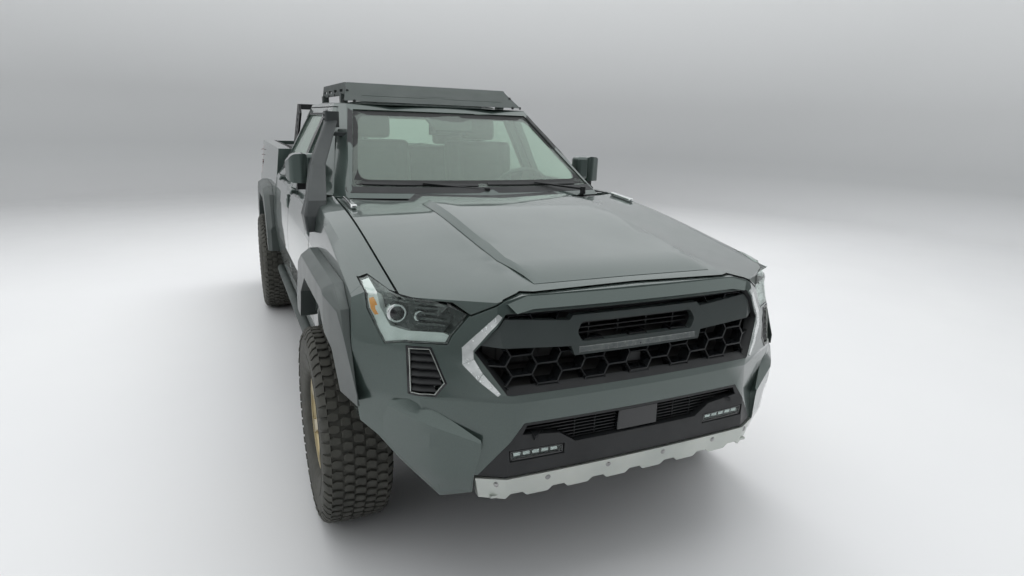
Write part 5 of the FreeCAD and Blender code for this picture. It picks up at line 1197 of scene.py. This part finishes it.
DISC_PROFILE = [(-0.024, 0.070), (-0.024, 0.163), (-0.015, 0.163), (-0.015, 0.150), (-0.009, 0.150),
                (-0.009, 0.163), (0.0, 0.163), (0.0, 0.070)]
DISC_HAT_PROFILE = [(-0.004, 0.0), (-0.004, 0.078), (0.036, 0.074), (0.038, 0.0)]


def rim_spoke():
    """One spoke from the hub out to the barrel's lip."""
    bm = bmesh.new()
    rings = bridged(bm, [[(face, -wide, reach), (face, wide, reach), (back, wide * 0.8, reach),
                          (back, -wide * 0.8, reach)] for reach, wide, face, back in SPOKE_RINGS])
    bm.faces.new(rings[0])
    bm.faces.new(rings[-1])
    return eased(outwards(bm), bm.edges[:], 0.004, 2)


def make_wheels():
    """Tyre, rim with its spokes and hub, nuts, bare cap and brake disc of each wheel."""
    rim = turned(RIM_PROFILE, 64)
    join(rim, around(rim_spoke(), RIM_SPOKES))
    join(rim, turned(HUB_PROFILE, 40, closed=False))
    disc = join(turned(DISC_PROFILE, 56), turned(DISC_HAT_PROFILE, 32, closed=False))
    nuts = around(tube((0.078, 0, 0.058), (0.098, 0, 0.058), 0.0105, 6), 6, math.pi / 6)
    parts = (
        ("tyre", make_tyre_mesh(), rubber, "tyre_rubber"),
        ("rim", rim, bronze, "rim_bronze"),
        ("nuts", nuts, steel, "bare_steel"),
        ("hub_cap", turned(CAP_PROFILE, 32, closed=False), bronze, "rim_bronze"),
        ("brake_disc", disc, steel, "bare_steel"),
    )
    for corner in ("front_left", "front_right", "rear_left", "rear_right"):
        low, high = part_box(corner + "_tyre")
        centre = (low + high) / 2
        for name, source, material, slot_name in parts:
            copy = moved(mirrored(source) if centre.x < 0 else source.copy(), centre)
            made = piece(f"{corner}_{name}_finished", corner + "_wheel", material, slot_name, copy)
            if name in ("tyre", "rim"):
                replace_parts(made, f"{corner}_{name}")
    for _, source, _, _ in parts:
        source.free()


# ---------------------------------------------------------------- studio

CAMERA_PLACE = (-1.284, -4.334, 1.694)
CAMERA_YAW, CAMERA_PITCH, CAMERA_ROLL = 25.11, 14.95, 2.02
CAMERA_LENS = 21.74


def make_camera():
    """Camera before the nose, a little to the truck's right."""
    data = bpy.data.cameras.new("studio_camera")
    data.lens = CAMERA_LENS
    data.sensor_width = 36.0
    data.clip_end = 200.0
    camera = bpy.data.objects.new("studio_camera", data)
    bpy.context.scene.collection.objects.link(camera)
    yaw = Matrix.Rotation(math.radians(-CAMERA_YAW), 4, "Z")
    pitch = Matrix.Rotation(math.radians(90 - CAMERA_PITCH), 4, "X")
    roll = Matrix.Rotation(math.radians(CAMERA_ROLL), 4, "Z")
    camera.matrix_world = Matrix.Translation(CAMERA_PLACE) @ yaw @ pitch @ roll
    bpy.context.scene.camera = camera


# Painted light and shade of the floor and wall, each tone laid over the one before it: axis, where it starts
# and is full, colour. Behind the truck both are darker, the wall is darker at its foot and painted lighter
# towards its top, and a painted shade makes both darkest before the truck's nose.
BACKDROP_PAINTED_LIGHT_AND_SHADE = (
    ("Y", 2.5, 9.0, (0.50, 0.50, 0.505)),
    ("Z", 0.02, 0.7, (0.46, 0.465, 0.47)),
    ("Z", 1.0, 5.5, (0.92, 0.92, 0.92)),
    ("Y", -7.0, -11.5, (0.16, 0.165, 0.17)),
)
FLOOR_REACH, FLOOR_BEND, WALL_TOP = 13.0, 2.2, 6.5


def floor_finish():
    """Pale, faintly glossy floor and wall with painted light and shade, the painted shade deepest on the wall
    before the truck's nose.
    """
    made = finish("studio_floor_painted_shading", (0.70, 0.70, 0.71), (0.72, 0.72, 0.725), (0.30, 0.38), 0.6, 30, 0.01)
    tree = made.node_tree
    base = tree.nodes["Principled BSDF"].inputs["Base Color"]
    colour = base.links[0].from_socket
    split = tree.nodes.new("ShaderNodeSeparateXYZ")
    tree.links.new(tree.nodes.new("ShaderNodeTexCoord").outputs["Object"], split.inputs["Vector"])
    # Each tone lays painted light or painted shade over the floor's colour by place.
    for axis, start, full, tone in BACKDROP_PAINTED_LIGHT_AND_SHADE:
        colour = blend_of(tree, ranged(tree, split.outputs[axis], 0.0, 1.0, start, full), colour, tone)
    tree.links.new(colour, base)
    return made


def make_floor():
    """Pale studio floor that curves up into a low wall all round."""
    points = [(0.0, 0.0), (FLOOR_REACH - FLOOR_BEND, 0.0)]
    for i in range(1, 9):
        turn = math.pi / 2 * i / 8
        points.append((FLOOR_REACH - FLOOR_BEND + FLOOR_BEND * math.sin(turn),
                       FLOOR_BEND - FLOOR_BEND * math.cos(turn)))
    points.append((FLOOR_REACH, WALL_TOP))
    bm = bmesh.new()
    verts = [bm.verts.new((x, 0, z)) for x, z in points]
    edges = [bm.edges.new(pair) for pair in zip(verts, verts[1:])]
    bmesh.ops.spin(bm, geom=verts + edges, cent=(0, 0, 0), axis=(0, 0, 1), angle=2 * math.pi, steps=96,
                   use_merge=True)
    bmesh.ops.remove_doubles(bm, verts=bm.verts, dist=1e-4)
    outwards(bm)
    if sum(face.normal.z for face in bm.faces) < 0:
        bmesh.ops.reverse_faces(bm, faces=bm.faces)
    mesh = bpy.data.meshes.new("studio_floor")
    bm.to_mesh(mesh)
    bm.free()
    mesh.shade_smooth()
    mesh.materials.append(floor_finish())
    floor = bpy.data.objects.new("studio_floor", mesh)
    bpy.context.scene.collection.objects.link(floor)


def area_light(name, place, target, size, power, mirrored_in_gloss=True):
    """Rectangular light that faces its target."""
    data = bpy.data.lights.new(name, "AREA")
    data.shape = "RECTANGLE"
    data.size, data.size_y = size
    data.energy = power
    lamp = bpy.data.objects.new(name, data)
    bpy.context.scene.collection.objects.link(lamp)
    lamp.location = place
    lamp.rotation_mode = "QUATERNION"
    lamp.rotation_quaternion = (Vector(target) - Vector(place)).to_track_quat("-Z", "Y")
    lamp.visible_glossy = mirrored_in_gloss


def make_light():
    """Soft light from above, behind and the right, in pale air."""
    world = bpy.data.worlds.new("studio_air")
    bpy.context.scene.world = world
    world.use_nodes = True
    air = world.node_tree.nodes["Background"].inputs
    air["Color"].default_value = (0.93, 0.96, 0.97, 1)
    air["Strength"].default_value = 0.95
    area_light("overhead_softbox", (0.0, 0.0, 7.5), (0, 0, 0), (9.0, 10.0), 260, False)
    area_light("rear_softbox", (2.5, 5.0, 7.0), (0, -1.2, 0.5), (5.0, 4.0), 330, False)
    area_light("right_side_softbox", (-8.0, 1.5, 3.4), (0, 0.6, 0.9), (7.0, 4.0), 40)
    bpy.context.scene.view_settings.view_transform = "Standard"


dress_frame()
make_headlamps()
make_corner_vents()
make_grille()
make_lower_intake()
make_nose_panels()
make_skid_bolts()
make_doors()
make_mirrors()
make_seats()
make_screens()
make_roof_gear()
make_rear()
make_underside()
make_wheels()
make_floor()
make_light()
make_camera()
